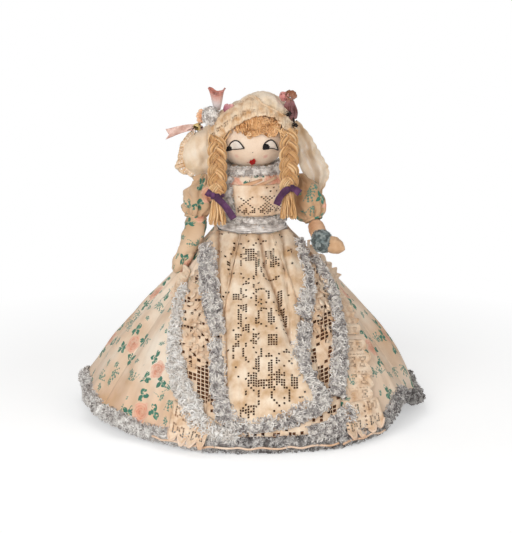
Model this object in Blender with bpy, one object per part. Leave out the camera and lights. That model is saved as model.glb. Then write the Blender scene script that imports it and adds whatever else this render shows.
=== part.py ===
# Topsy turvy doll: two stuffed half dolls sewn waist to waist, with one round
# skirt that turns over at the waist to hide either of them.
# Z is up, -Y is the front, and the origin is the flat under the hidden cap.
# All sizes are in metres and all angles in degrees.

import bpy
import bmesh
from math import asin, cos, degrees, pi, radians, sin, sqrt, tan
from mathutils import Vector
from mathutils.bvhtree import BVHTree

# Clearances
FIT_GAP = 0.0003
SEAM_GAP = 0.0004
TRIM_GAP = 0.0005

# Whole doll
WAIST_HEIGHT = 0.178
SHOULDER_SHARE = 0.76
NECK_RISE = 0.062
HEAD_CENTRE_RISE = 0.0320
LOWER_HEAD_HEIGHT = 0.070
LOWER_NECK_DROP = WAIST_HEIGHT - LOWER_HEAD_HEIGHT - HEAD_CENTRE_RISE

# Skirt: eight gores, each hinged at the waist
GORES = 8
FRONT_TURN = 6.0
HINGE_RADIUS = 0.033
CLOTH_HALF = 0.0010
CLOTH_EDGE_HALF = 0.0005
CLOTH_TOP_REACH = 0.0006
# The skirt turns over through twice the angle of its edges, so that its seams meet again
EDGE_ANGLE = 52.0
HEM_EDGE_ANGLE = 55.0
BULGE_ANGLE = 5.0
HEM_ROUND_ANGLE = 1.7
FOLD_DEPTH = 0.0035
APRON_FOLD_DEPTH = 0.0012

# Hem trim
HEM_HALF_HEIGHT = 0.0050
HEM_HALF_DEPTH = 0.0040
FRONT_HEM_LIFT = 0.0006
SIDE_HEM_LIFT = 0.0025
BACK_HEM_LIFT = 0.0050
LEFT_HEM_LIFT = 0.0120

# Fur trims on the front of the skirt
TRIM_HALF_WIDTH = 0.0045
TRIM_HALF_DEPTH = 0.0022
SKIRT_TRIM_GAP = 0.0009

# Torsos
CHEST_HALF_DEPTH = 0.0300
NECK_RADIUS = 0.0150

# Heads
HEAD_HALF_WIDTH = 0.0360
HEAD_HALF_DEPTH = 0.0330
HEAD_HALF_HEIGHT = 0.0350
CHIN_FULLNESS = 0.08
HAIR_THICKNESS = 0.0035
BONNET_THICKNESS = 0.0010
LOWER_HAIR_THICKNESS = 0.0030

# Arms: elbows, wrists and fingertips are places from the middle of the waist
SHOULDER_HALF_SPAN = 0.046
SHOULDER_BALL = 0.0050
SLEEVE_RADIUS = 0.0130
ELBOW_BALL = 0.0050
HAND_RADIUS = 0.0062
LEFT_ELBOW = (-0.0570, -0.0100, 0.0080)
LEFT_WRIST = (-0.0690, -0.0200, -0.0300)
LEFT_FINGERTIP = (-0.0880, -0.0260, -0.0450)
RIGHT_ELBOW = (0.0600, -0.0150, 0.0070)
RIGHT_WRIST = (0.0660, -0.0350, -0.0050)
RIGHT_FINGERTIP = (0.0890, -0.0500, -0.0120)
LOWER_ELBOW_REACH = 0.0220
LOWER_ELBOW_DROP = 0.0410
LOWER_ELBOW_FORWARD = 0.0060
LOWER_HAND_REACH = 0.0450
LOWER_HAND_DROP = 0.0900
LOWER_HAND_FORWARD = 0.0200
LOWER_WRIST_SHARE = 0.62
LOWER_SLEEVE_RADIUS = 0.0115
CUFF_RADIUS = 0.0110
CUFF_HALF_LENGTH = 0.0085
CUFF_STEPS = 14
CUFF_EASE = 0.0012

# Braids: their tops are places from the middle of the head
BRAID_HALF_WIDTH = 0.0062
BRAID_HALF_DEPTH = 0.0034
STRAND_RADIUS = 0.0020
BRAID_PITCH = 0.0340
BRAID_LENGTH = 0.0500
BRAID_KNOT_LENGTH = 0.0040
BRAID_LEAN = 0.0180
LEFT_BRAID_TOP = (-0.0322, -0.0270, -0.0010)
RIGHT_BRAID_TOP = (0.0327, -0.0256, 0.0040)
TASSEL_LENGTH = 0.0240
TASSEL_HALF_WIDTH = 0.0095
TASSEL_HALF_DEPTH = 0.0060

# Round sections get this many sides
LIMB_SIDES = 10
TRIM_SIDES = 6
HEAD_SIDES = 16
HEAD_STEP = 16.0


def clear_scene():
    for item in list(bpy.data.objects):
        bpy.data.objects.remove(item, do_unlink=True)


def make_material(name, colour, roughness, metallic=0.0):
    material = bpy.data.materials.new(name)
    material.use_nodes = True
    shader = material.node_tree.nodes["Principled BSDF"]
    shader.inputs["Base Color"].default_value = (*colour, 1.0)
    shader.inputs["Roughness"].default_value = roughness
    shader.inputs["Metallic"].default_value = metallic
    return material


def make_holder(name, place):
    # An empty on a joint's axis, which carries the pieces of one moving body
    holder = bpy.data.objects.new(name, None)
    holder.location = place
    bpy.context.scene.collection.objects.link(holder)
    return holder


def make_object(name, mesh_data, holder, material, smooth_angle=50.0):
    # mesh_data is (points, faces) in world places
    points, faces = mesh_data
    origin = Vector(holder.location) if holder else Vector()
    work = bmesh.new()
    corners = [work.verts.new(Vector(point) - origin) for point in points]
    for face in faces:
        work.faces.new([corners[index] for index in face])
    bmesh.ops.recalc_face_normals(work, faces=work.faces)
    mesh = bpy.data.meshes.new(name)
    work.to_mesh(mesh)
    work.free()
    mesh.materials.append(material)
    mesh.shade_smooth()
    mesh.set_sharp_from_angle(angle=radians(smooth_angle))
    item = bpy.data.objects.new(name, mesh)
    bpy.context.scene.collection.objects.link(item)
    if holder:
        item.parent = holder
    return item


def lofted(rings, closed=False):
    # Rings of equal count become one skin, capped at both ends unless closed
    count = len(rings[0])
    points = [point for ring in rings for point in ring]
    faces = []
    spans = len(rings) if closed else len(rings) - 1
    for row in range(spans):
        first = row * count
        second = ((row + 1) % len(rings)) * count
        for column in range(count):
            following = (column + 1) % count
            faces.append((first + column, first + following, second + following, second + column))
    if not closed:
        faces.append(tuple(range(count)))
        faces.append(tuple(range(len(points) - count, len(points))))
    return points, faces


def slab(outer, inner):
    # Two grids of equal size, joined round the border into one thin solid
    rows = len(outer)
    columns = len(outer[0])
    points = [point for row in outer for point in row] + [point for row in inner for point in row]
    offset = rows * columns
    faces = []
    for row in range(rows - 1):
        for column in range(columns - 1):
            corner = row * columns + column
            quad = (corner, corner + 1, corner + columns + 1, corner + columns)
            faces.append(quad)
            faces.append(tuple(offset + index for index in reversed(quad)))
    border = [column for column in range(columns)]
    border += [row * columns + columns - 1 for row in range(1, rows)]
    border += [(rows - 1) * columns + column for column in range(columns - 2, -1, -1)]
    border += [row * columns for row in range(rows - 2, 0, -1)]
    for index, here in enumerate(border):
        following = border[(index + 1) % len(border)]
        faces.append((here, following, offset + following, offset + here))
    return points, faces


def smooth_path(stops, steps):
    # A Catmull-Rom curve through the stops
    stops = [Vector(stop) for stop in stops]
    padded = [2 * stops[0] - stops[1]] + stops + [2 * stops[-1] - stops[-2]]
    path = []
    for index in range(1, len(padded) - 2):
        before, start, end, after = padded[index - 1:index + 3]
        for step in range(steps):
            share = step / steps
            linear = (end - before) * share
            square = (2 * before - 5 * start + 4 * end - after) * share ** 2
            cube = (3 * start - before - 3 * end + after) * share ** 3
            path.append(0.5 * (2 * start + linear + square + cube))
    path.append(stops[-1])
    return path


def tangents(path, closed=False):
    result = []
    last = len(path) - 1
    for index in range(len(path)):
        before = path[index - 1] if index or closed else path[0]
        after = path[(index + 1) % len(path)] if index < last or closed else path[last]
        result.append((after - before).normalized())
    return result


def swept(path, wide, deep, sides, upward, closed=False):
    # wide and deep are half sizes, one value for all of the path or one for each point
    upward = Vector(upward)
    wides = wide if isinstance(wide, list) else [wide] * len(path)
    deeps = deep if isinstance(deep, list) else [deep] * len(path)
    rings = []
    for point, along, half_wide, half_deep in zip(path, tangents(path, closed), wides, deeps):
        normal = (upward - along * upward.dot(along)).normalized()
        across = along.cross(normal)
        rings.append([
            point + across * (half_wide * cos(2 * pi * side / sides))
            + normal * (half_deep * sin(2 * pi * side / sides))
            for side in range(sides)
        ])
    return lofted(rings, closed)


def profile_value(table, share, column):
    # Smooth reading of one column of a table whose first column is the share
    for low, high in zip(table, table[1:]):
        if share <= high[0]:
            blend = (share - low[0]) / (high[0] - low[0])
            blend = blend * blend * (3 - 2 * blend)
            return low[column] + (high[column] - low[column]) * blend
    return table[-1][column]


def limb(path, radius, shares, sides, upward):
    # A stuffed limb whose radius follows a table of shares along its path
    lengths = [0.0]
    for start, end in zip(path, path[1:]):
        lengths.append(lengths[-1] + (end - start).length)
    radii = [radius * profile_value(shares, length / lengths[-1], 1) for length in lengths]
    return swept(path, radii, radii, sides, upward)


# Torsos

# share of the neck's rise, then shares of the shoulder's half width and the chest's half depth
TORSO_SHARES = (
    (0.00, None, None),
    (0.16, None, None),
    (0.42, 0.86, 1.02),
    (0.60, 0.92, 1.04),
    (SHOULDER_SHARE, 1.00, 0.94),
    (0.86, 0.86, 0.80),
    (0.93, 0.58, 0.66),
    (1.00, None, None),
)
TORSO_ROW_SHARES = (0.0, 0.10, 0.20, 0.31, 0.42, 0.60, SHOULDER_SHARE, 0.86, 0.93, 1.0)


def waist_radius():
    return HINGE_RADIUS - CLOTH_TOP_REACH - FIT_GAP


def shoulder_half_width():
    return SHOULDER_HALF_SPAN - SHOULDER_BALL - FIT_GAP


def torso_table():
    rows = []
    for rise, width, depth in TORSO_SHARES:
        if width is None:
            radius = NECK_RADIUS if rise == 1 else waist_radius()
            rows.append((rise, radius, radius))
        else:
            rows.append((rise, width * shoulder_half_width(), depth * CHEST_HALF_DEPTH))
    return rows


def torso_point(share, turn, offset, rise, side):
    # turn is measured from the front towards +X, side is 1 for the upper doll and -1 below
    table = torso_table()
    wide = profile_value(table, share, 1) + offset
    deep = profile_value(table, share, 2) + offset
    start = WAIST_HEIGHT + side * FIT_GAP / 2
    return Vector((wide * sin(turn), -deep * cos(turn), start + side * (share * rise - share * FIT_GAP / 2)))


def make_torso(name, rise, side, material):
    rings = []
    for share in TORSO_ROW_SHARES:
        rings.append([
            torso_point(share, 2 * pi * step / HEAD_SIDES, 0, rise, side)
            for step in range(HEAD_SIDES)
        ])
    make_object(name, lofted(rings), None, material)


# Heads
POLE_SHARE = 0.22
HEAD_TILT = 44.0
LOWER_HEAD_TILT = 30.0


def head_centre(side):
    rise = NECK_RISE if side > 0 else LOWER_NECK_DROP
    return Vector((0, 0, WAIST_HEIGHT + side * (rise + HEAD_CENTRE_RISE)))


def head_surface(direction, offset, side):
    # direction has +Z towards the crown, whichever way up the doll is
    wide = direction.x / HEAD_HALF_WIDTH
    deep = direction.y / HEAD_HALF_DEPTH
    high = direction.z / HEAD_HALF_HEIGHT
    reach = 1 / sqrt(wide ** 2 + deep ** 2 + high ** 2)
    chin = max(0, -direction.z) * max(0, -direction.y)
    reach = reach * (1 + CHIN_FULLNESS * chin) + offset
    centre = head_centre(side)
    return Vector((direction.x * reach, direction.y * reach, centre.z + side * direction.z * reach))


def pole_direction(tilt, away, around):
    # tilt leans the pole back from the crown, away is the angle from the pole
    pole = Vector((0, sin(radians(tilt)), cos(radians(tilt))))
    first = Vector((1, 0, 0))
    second = pole.cross(first)
    spread = first * cos(around) + second * sin(around)
    return pole * cos(radians(away)) + spread * sin(radians(away))


def ring_angles(spread):
    # Every skin on one head has its rings at the same angles, so that they nest
    count = round(spread / HEAD_STEP)
    angles = [HEAD_STEP * POLE_SHARE] + [HEAD_STEP * step for step in range(1, count + 1)]
    if angles[-1] > 180 - HEAD_STEP / 2:
        angles[-1] = 180 - HEAD_STEP * POLE_SHARE
    return angles


def head_ring(side, tilt, away, offset):
    return [
        head_surface(pole_direction(tilt, away, 2 * pi * step / HEAD_SIDES), offset, side)
        for step in range(HEAD_SIDES)
    ]


def make_head(name, side, tilt, material):
    rise = NECK_RISE if side > 0 else LOWER_NECK_DROP
    neck_face = WAIST_HEIGHT + side * (rise + FIT_GAP)
    rings = [head_ring(side, tilt, away, 0) for away in ring_angles(180)]
    for ring in rings:
        for point in ring:
            point.z = max(point.z, neck_face) if side > 0 else min(point.z, neck_face)
    make_object(name, lofted(rings), None, material)


def head_shell(side, tilt, spread, low_offset, high_offset):
    # A dome over the head: its inner skin runs to the rim and its outer skin runs back
    angles = ring_angles(spread)
    rings = [head_ring(side, tilt, away, low_offset) for away in angles]
    rings += [head_ring(side, tilt, away, high_offset) for away in reversed(angles)]
    return lofted(rings)


# Wig, fringe and bonnet
HAIR_SPREAD = 96.0
BONNET_SPREAD = 80.0
BRIM_STAND = 32.0
BRIM_HALF_WIDTH = 0.0055
BRIM_HALF_DEPTH = 0.0011
BRIM_SIDE_TURN = 80.0
BRIM_STEPS = 18
FRINGE_AWAY = 108.0
FRINGE_SIDE_TURN = 44.0
FRINGE_HALF_HEIGHT = 0.0050
FRINGE_HALF_DEPTH = 0.0030
FRINGE_STEPS = 12
FRINGE_WAVE_SHARE = 0.18


def front_arc(away, side_turn, offset, steps):
    # Points on a circle round the leaning pole, over the front of the head
    arounds = [radians(side_turn * (2 * step / steps - 1) - 90) for step in range(steps + 1)]
    return [head_surface(pole_direction(HEAD_TILT, away, around), offset, 1) for around in arounds]


def make_hair(materials):
    low = FIT_GAP
    wig = head_shell(1, HEAD_TILT, HAIR_SPREAD, low, low + HAIR_THICKNESS)
    make_object("hair_wig", wig, None, materials["yarn"])
    path = front_arc(FRINGE_AWAY, FRINGE_SIDE_TURN, TRIM_GAP + FRINGE_HALF_DEPTH, FRINGE_STEPS)
    deeps = []
    for step in range(FRINGE_STEPS + 1):
        share = 2 * step / FRINGE_STEPS - 1
        swell = 1 - FRINGE_WAVE_SHARE * (step % 2)
        deeps.append(FRINGE_HALF_DEPTH * swell * (1 - share ** 4 / 2))
    wides = [FRINGE_HALF_HEIGHT * deep / FRINGE_HALF_DEPTH for deep in deeps]
    make_object("hair_fringe", swept(path, wides, deeps, TRIM_SIDES, (0, -1, 0)), None, materials["yarn"])


def bonnet_skin():
    # How far the bonnet's outer skin stands off the head
    return FIT_GAP + HAIR_THICKNESS + FIT_GAP + BONNET_THICKNESS


def brim_frame(side_turn):
    # Middle of the brim, the way it stands and its outward normal, at one turn over the head
    seat = bonnet_skin() + FIT_GAP
    around = radians(side_turn - 90)
    point = head_surface(pole_direction(HEAD_TILT, BONNET_SPREAD, around), seat, 1)
    beyond = head_surface(pole_direction(HEAD_TILT, BONNET_SPREAD + HEAD_STEP, around), seat, 1)
    normal = (point - head_centre(1)).normalized()
    stand = (beyond - point).normalized() * cos(radians(BRIM_STAND)) + normal * sin(radians(BRIM_STAND))
    stand.normalize()
    thin = (normal - stand * normal.dot(stand)).normalized()
    return point + stand * BRIM_HALF_WIDTH, stand, thin


def make_bonnet(materials):
    make_object("bonnet_crown", bonnet_crown_skin(), None, materials["gauze"])
    rings = []
    for step in range(BRIM_STEPS + 1):
        middle, stand, thin = brim_frame(BRIM_SIDE_TURN * (2 * step / BRIM_STEPS - 1))
        rings.append([
            middle + stand * (BRIM_HALF_WIDTH * cos(2 * pi * side / TRIM_SIDES))
            + thin * (BRIM_HALF_DEPTH * sin(2 * pi * side / TRIM_SIDES))
            for side in range(TRIM_SIDES)
        ])
    make_object("bonnet_brim", lofted(rings), None, materials["lace"])


# Hidden doll's hair and cap
LOWER_HAIR_SPREAD = 96.0
CAP_INNER_SPREAD = 64.0
CAP_EASE = 0.0009
CAP_REST_RADIUS = 0.0120
CAP_RADIUS = 0.0450
CAP_RIM_WALL = 0.0045
CAP_RIM_RISE = 0.0084
# height as a share of the rim's height, then the radius as a share
CAP_SHARES = ((1.0, 0.92), (0.85, 0.93), (0.667, 1.0), (0.437, 0.97), (0.23, 0.80), (0.08, 0.54), (0.014, 0.36))
FRILL_HEIGHT_SHARE = 0.931
FRILL_RADIUS_SHARE = 0.93
FRILL_WAVES = 9
FRILL_STEPS = 27
FRILL_HALF_WIDTH = 0.0060
FRILL_HALF_DEPTH = 0.0011
FRILL_WAVE = 0.0022


def cap_spread(offset):
    # How far down the head the cap comes: less where its radius would leave the rim no wall
    inner = CAP_RADIUS * CAP_SHARES[0][1] - CAP_RIM_WALL
    widest = HEAD_HALF_WIDTH + offset
    if inner >= widest:
        return CAP_INNER_SPREAD
    steps = int(degrees(asin(inner / widest)) / HEAD_STEP)
    return min(CAP_INNER_SPREAD, steps * HEAD_STEP)


def make_cap(materials):
    # The gathered crown is padded, because the doll stands on it
    low = FIT_GAP
    hair = head_shell(-1, LOWER_HEAD_TILT, LOWER_HAIR_SPREAD, low, low + LOWER_HAIR_THICKNESS)
    make_object("lower_hair", hair, None, materials["dark_yarn"])
    offset = low + LOWER_HAIR_THICKNESS + CAP_EASE
    spread = cap_spread(offset)
    rings = [head_ring(-1, 0, away, offset) for away in ring_angles(spread)]
    rim_height = rings[-1][0].z + CAP_RIM_RISE
    for height_share, radius_share in CAP_SHARES:
        rings.append([
            Vector((
                CAP_RADIUS * radius_share * cos(2 * pi * step / HEAD_SIDES),
                CAP_RADIUS * radius_share * sin(2 * pi * step / HEAD_SIDES),
                rim_height * height_share,
            ))
            for step in range(HEAD_SIDES)
        ])
    rings.append([
        Vector((
            CAP_REST_RADIUS * cos(2 * pi * step / HEAD_SIDES),
            CAP_REST_RADIUS * sin(2 * pi * step / HEAD_SIDES),
            0,
        ))
        for step in range(HEAD_SIDES)
    ])
    make_object("cap_crown", lofted(rings), None, materials["muslin"])
    frill = []
    frill_radius = CAP_RADIUS * FRILL_RADIUS_SHARE + FRILL_HALF_WIDTH + FIT_GAP
    for step in range(FRILL_STEPS):
        turn = 2 * pi * step / FRILL_STEPS
        wave = FRILL_WAVE * sin(FRILL_WAVES * turn)
        height = rim_height * FRILL_HEIGHT_SHARE + wave
        frill.append(Vector((frill_radius * cos(turn), frill_radius * sin(turn), height)))
    rings = []
    for point in frill:
        outward = Vector((point.x, point.y, 0)).normalized()
        rings.append([
            point + outward * (FRILL_HALF_WIDTH * cos(2 * pi * side / TRIM_SIDES))
            + Vector((0, 0, FRILL_HALF_DEPTH * sin(2 * pi * side / TRIM_SIDES)))
            for side in range(TRIM_SIDES)
        ])
    make_object("cap_frill", lofted(rings, closed=True), None, materials["muslin"])


# Bodice trims: places are shares of the neck's rise and turns from the front
COLLAR_SHARE = 0.89
COLLAR_HALF_HEIGHT = 0.0058
COLLAR_HALF_DEPTH = 0.0036
COLLAR_GAP = 0.0008
NORMAL_STEP_SHARE = 0.03
SASH_HALF_HEIGHT = 0.0033
SASH_BOTTOM = 0.0019
SASH_THICKNESS = 0.0011
WAIST_FUR_HALF_HEIGHT = 0.0032
WAIST_FUR_HALF_DEPTH = 0.0020
BIB_LOW_SHARE = 0.285
BIB_HIGH_SHARE = 0.74
BIB_LEFT_TURN = -24.0
BIB_RIGHT_TURN = 56.0
BIB_THICKNESS = 0.0012
BIB_GAP = 0.0007
STRIP_TURN = -37.0
STRIP_HALF_WIDTH = 0.0036
STRIP_HALF_DEPTH = 0.0020


def torso_frame(share, turn):
    # Place, outward normal and up-the-slope direction on the upper torso
    place = torso_point(share, turn, 0, NECK_RISE, 1)
    low = torso_point(share - NORMAL_STEP_SHARE, turn, 0, NECK_RISE, 1)
    high = torso_point(share + NORMAL_STEP_SHARE, turn, 0, NECK_RISE, 1)
    climb = (high - low).normalized()
    outward = Vector((place.x, place.y, 0))
    normal = (outward - climb * outward.dot(climb)).normalized()
    return place, normal, climb


def band(share, offset, half_height, half_deep):
    # A closed band round the torso at one share of its rise, faceted as the torso is
    rings = []
    for step in range(HEAD_SIDES):
        place, normal, climb = torso_frame(share, 2 * pi * step / HEAD_SIDES)
        rings.append([
            place + normal * (offset + half_deep * cos(2 * pi * side / TRIM_SIDES))
            + climb * (half_height * sin(2 * pi * side / TRIM_SIDES))
            for side in range(TRIM_SIDES)
        ])
    return lofted(rings, closed=True)


def make_bodice_trims(materials):
    sash_share = (SASH_BOTTOM + SASH_HALF_HEIGHT) / NECK_RISE
    sash = band(sash_share, FIT_GAP + SASH_THICKNESS / 2, SASH_HALF_HEIGHT, SASH_THICKNESS / 2)
    make_object("waist_sash", sash, None, materials["satin"])
    fur_rise = SASH_BOTTOM + 2 * SASH_HALF_HEIGHT + FIT_GAP + WAIST_FUR_HALF_HEIGHT
    fur = band(fur_rise / NECK_RISE, TRIM_GAP + WAIST_FUR_HALF_DEPTH, WAIST_FUR_HALF_HEIGHT,
               WAIST_FUR_HALF_DEPTH)
    make_object("waist_fur_band", fur, None, materials["fur"])

    collar = band(COLLAR_SHARE, COLLAR_GAP + COLLAR_HALF_DEPTH, COLLAR_HALF_HEIGHT, COLLAR_HALF_DEPTH)
    make_object("fur_collar", collar, None, materials["fur"])

    rows = 5
    columns = 8
    grids = []
    for offset in (BIB_GAP + BIB_THICKNESS, BIB_GAP):
        grid = []
        for row in range(rows + 1):
            share = BIB_LOW_SHARE + (BIB_HIGH_SHARE - BIB_LOW_SHARE) * row / rows
            grid.append([
                torso_point(
                    share, radians(BIB_LEFT_TURN + (BIB_RIGHT_TURN - BIB_LEFT_TURN) * column / columns),
                    offset, NECK_RISE, 1)
                for column in range(columns + 1)
            ])
        grids.append(grid)
    make_object("lace_bib", slab(*grids), None, materials["lace"])

    steps = 8
    path = [
        torso_point(BIB_LOW_SHARE + (BIB_HIGH_SHARE - BIB_LOW_SHARE) * step / steps, radians(STRIP_TURN),
                    TRIM_GAP + STRIP_HALF_DEPTH, NECK_RISE, 1)
        for step in range(steps + 1)
    ]
    facing = (sin(radians(STRIP_TURN)), -cos(radians(STRIP_TURN)), 0)
    strip = swept(path, STRIP_HALF_WIDTH, STRIP_HALF_DEPTH, TRIM_SIDES, facing)
    make_object("bodice_fur_strip", strip, None, materials["fur"])


# Flowers and ribbon on the bonnet: turn is from the front, level is above the head's middle
FLOWER_SIDES = 15
POM_SIDES = 14
BUD_SIDES = 12
LEFT_ROSETTE_TURN = -80.0
LEFT_ROSETTE_LEVEL = 48.0
LEFT_ROSETTE_RADIUS = 0.0098
LEFT_ROSETTE_HEIGHT = 0.0150
LEFT_POM_BRIM_TURN = -62.0
LEFT_POM_RADIUS = 0.0082
PEACH_TURN = -100.0
PEACH_LEVEL = 17.0
PEACH_RADIUS = 0.0060
PEACH_HEIGHT = 0.0075
ROSEBUD_TURN = 68.0
ROSEBUD_LEVEL = 56.0
ROSEBUD_RADIUS = 0.0056
ROSEBUD_HEIGHT = 0.0105
MAUVE_TURN = 88.0
MAUVE_LEVEL = 30.0
MAUVE_RADIUS = 0.0095
MAUVE_HEIGHT = 0.0090
ROSETTE_SHARES = ((0.0, 0.30), (0.18, 0.52), (0.50, 0.78), (0.82, 1.00), (1.00, 0.92), (0.90, 0.60), (0.72, 0.30))
BUD_SHARES = ((0.0, 0.35), (0.15, 0.75), (0.45, 1.00), (0.75, 0.80), (0.95, 0.42), (1.0, 0.15))
POM_SHARES = ((0.03, 0.34), (0.15, 0.72), (0.35, 0.95), (0.55, 1.0), (0.75, 0.86), (0.92, 0.54), (1.0, 0.16))
PETAL_SHARE = 0.16


def bonnet_crown_skin():
    return head_shell(1, HEAD_TILT, BONNET_SPREAD, bonnet_skin() - BONNET_THICKNESS, bonnet_skin())


def bonnet_place(turn, level):
    # Where something sits on the bonnet's crown, and the way that spot faces
    turn = radians(turn)
    level = radians(level)
    outward = Vector((sin(turn) * cos(level), -cos(turn) * cos(level), sin(level)))
    crown = BVHTree.FromPolygons(*bonnet_crown_skin())
    spot, normal, _, _ = crown.ray_cast(head_surface(outward, HEAD_HALF_WIDTH, 1), -outward)
    if normal.dot(outward) < 0:
        normal = -normal
    return spot + normal * FIT_GAP, normal


def bloom(place, radius, height, shares, petals, sides):
    # A flower that stands out from its seat, its petals as lobes of each ring
    seat, outward = place
    first = outward.orthogonal().normalized()
    second = outward.cross(first)
    rings = []
    for rise_share, radius_share in shares:
        ring = []
        for side in range(sides):
            around = 2 * pi * side / sides
            lobe = 1 + PETAL_SHARE * rise_share * cos(petals * around)
            reach = radius * radius_share * lobe
            ring.append(seat + outward * (height * rise_share) + first * (reach * cos(around))
                        + second * (reach * sin(around)))
        rings.append(ring)
    return lofted(rings)


def make_flowers(materials):
    place = bonnet_place(LEFT_ROSETTE_TURN, LEFT_ROSETTE_LEVEL)
    rosette = bloom(place, LEFT_ROSETTE_RADIUS, LEFT_ROSETTE_HEIGHT, ROSETTE_SHARES, 5, FLOWER_SIDES)
    make_object("left_ribbon_rosette", rosette, None, materials["pink_ribbon"])
    middle, stand, thin = brim_frame(LEFT_POM_BRIM_TURN)
    place = (middle + thin * (BRIM_HALF_DEPTH + FIT_GAP), thin)
    pom = bloom(place, LEFT_POM_RADIUS, 2 * LEFT_POM_RADIUS, POM_SHARES, 0, POM_SIDES)
    make_object("left_fur_pom", pom, None, materials["fur"])
    place = bonnet_place(PEACH_TURN, PEACH_LEVEL)
    peach = bloom(place, PEACH_RADIUS, PEACH_HEIGHT, ROSETTE_SHARES, 5, FLOWER_SIDES)
    make_object("left_peach_flower", peach, None, materials["peach_petal"])
    place = bonnet_place(ROSEBUD_TURN, ROSEBUD_LEVEL)
    bud = bloom(place, ROSEBUD_RADIUS, ROSEBUD_HEIGHT, BUD_SHARES, 3, BUD_SIDES)
    make_object("right_rosebud", bud, None, materials["pink_ribbon"])
    place = bonnet_place(MAUVE_TURN, MAUVE_LEVEL)
    mauve = bloom(place, MAUVE_RADIUS, MAUVE_HEIGHT, ROSETTE_SHARES, 5, FLOWER_SIDES)
    make_object("right_mauve_flower", mauve, None, materials["mauve_petal"])


# Bonnet lappets: flat cloth that hangs from a hinge at each side of the bonnet
LAPPET_TURN = 122.0
LAPPET_LEVEL = 8.0
LEFT_LAPPET_DROP = 0.0430
RIGHT_LAPPET_DROP = 0.0740
LEFT_LAPPET_WIDTH = 0.0310
RIGHT_LAPPET_WIDTH = 0.0360
LEFT_LAPPET_PUFF = 0.0042
RIGHT_LAPPET_PUFF = 0.0011
LAPPET_TOP_HALF = 0.0008
# drop share, then the near and far edges as shares of the width, and the puff share
LEFT_LAPPET_SHARES = (
    (0.0, 0.0, 0.03, 0.1), (0.12, 0.02, 0.38, 0.6), (0.35, 0.03, 0.82, 1.0),
    (0.65, 0.05, 0.96, 0.9), (0.88, 0.14, 0.90, 0.6), (1.0, 0.30, 0.74, 0.2),
)
RIGHT_LAPPET_SHARES = (
    (0.0, 0.0, 0.03, 0.6), (0.15, 0.02, 0.38, 1.0), (0.40, 0.12, 0.84, 1.0),
    (0.62, 0.30, 1.00, 1.0), (0.80, 0.52, 0.98, 1.0), (1.0, 0.80, 0.92, 0.6),
)
LAPPET_COLUMNS = 6


def lappet_hinge(mirror):
    # The lappet's top edge lies against the bonnet, behind the ear
    spot, normal = bonnet_place(LAPPET_TURN, LAPPET_LEVEL)
    spot = spot + normal * LAPPET_TOP_HALF
    return Vector((mirror * spot.x, spot.y, spot.z))


def make_lappet(name, mirror, drop, width, puff, table, material):
    hinge = lappet_hinge(mirror)
    grids = []
    for face in (1, -1):
        grid = []
        for drop_share, near, far, puff_share in table:
            row = []
            for column in range(LAPPET_COLUMNS + 1):
                share = column / LAPPET_COLUMNS
                swell = LAPPET_TOP_HALF + puff * puff_share * sin(pi * share)
                across = width * (near + (far - near) * share)
                row.append(hinge + Vector((mirror * across, face * swell, -drop * drop_share)))
            grid.append(row)
        grids.append(grid)
    make_object(name, slab(*grids), make_holder(name + "_axis", hinge), material)


def make_lappets(materials):
    make_lappet("left_lappet", -1, LEFT_LAPPET_DROP, LEFT_LAPPET_WIDTH, LEFT_LAPPET_PUFF,
                LEFT_LAPPET_SHARES, materials["gauze"])
    make_lappet("right_lappet", 1, RIGHT_LAPPET_DROP, RIGHT_LAPPET_WIDTH, RIGHT_LAPPET_PUFF,
                RIGHT_LAPPET_SHARES, materials["gauze"])


# Strands, knots, tassels and ribbons of the braids
STRAND_STEPS = 17
STRAND_SIDES = 5
KNOT_DEPTH_SHARE = 0.75
RIBBON_HALF_WIDTH = 0.0036
RIBBON_HALF_DEPTH = 0.0009
# drop below the braid's knot and step to the side, as shares of the tassel's length
LEFT_RIBBON_SHARES = ((-0.16, -0.50), (-0.08, -0.20), (0.12, 0.12), (0.60, 0.50))
RIGHT_RIBBON_SHARES = ((-0.16, 0.44), (-0.10, 0.14), (0.05, -0.16), (0.45, -0.44))
TASSEL_SHARES = ((0.0, 0.50), (0.25, 0.72), (0.65, 0.95), (0.92, 1.0), (1.0, 0.92))


def strand_point(top, along, across, normal, share, strand):
    turn = 2 * pi * (share * BRAID_LENGTH / BRAID_PITCH + strand / 3)
    side = BRAID_HALF_WIDTH * sin(turn)
    front = BRAID_HALF_DEPTH * sin(2 * turn)
    return top + along * (share * BRAID_LENGTH) + across * side + normal * front


def strand_gap(paths):
    # Least distance between two strands' skins
    least = min(
        (one - other).length
        for first in range(3) for second in range(first + 1, 3)
        for one in paths[first] for other in paths[second]
    )
    return least - 2 * STRAND_RADIUS


def join_solids(main, others):
    # Boolean union into one body; the cutters are taken out of the scene again
    for other in others:
        modifier = main.modifiers.new("join", "BOOLEAN")
        modifier.operation = "UNION"
        modifier.solver = "EXACT"
        modifier.object = other
        other.hide_render = True
        other.display_type = "WIRE"


def ribbon_carrier_depth(low_share):
    # Half depth of what the ribbon lies on: the braid, or the tassel below it
    tassel = TASSEL_HALF_DEPTH * profile_value(TASSEL_SHARES, max(low_share, 0), 1)
    return max(BRAID_HALF_DEPTH + STRAND_RADIUS, tassel)


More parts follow.
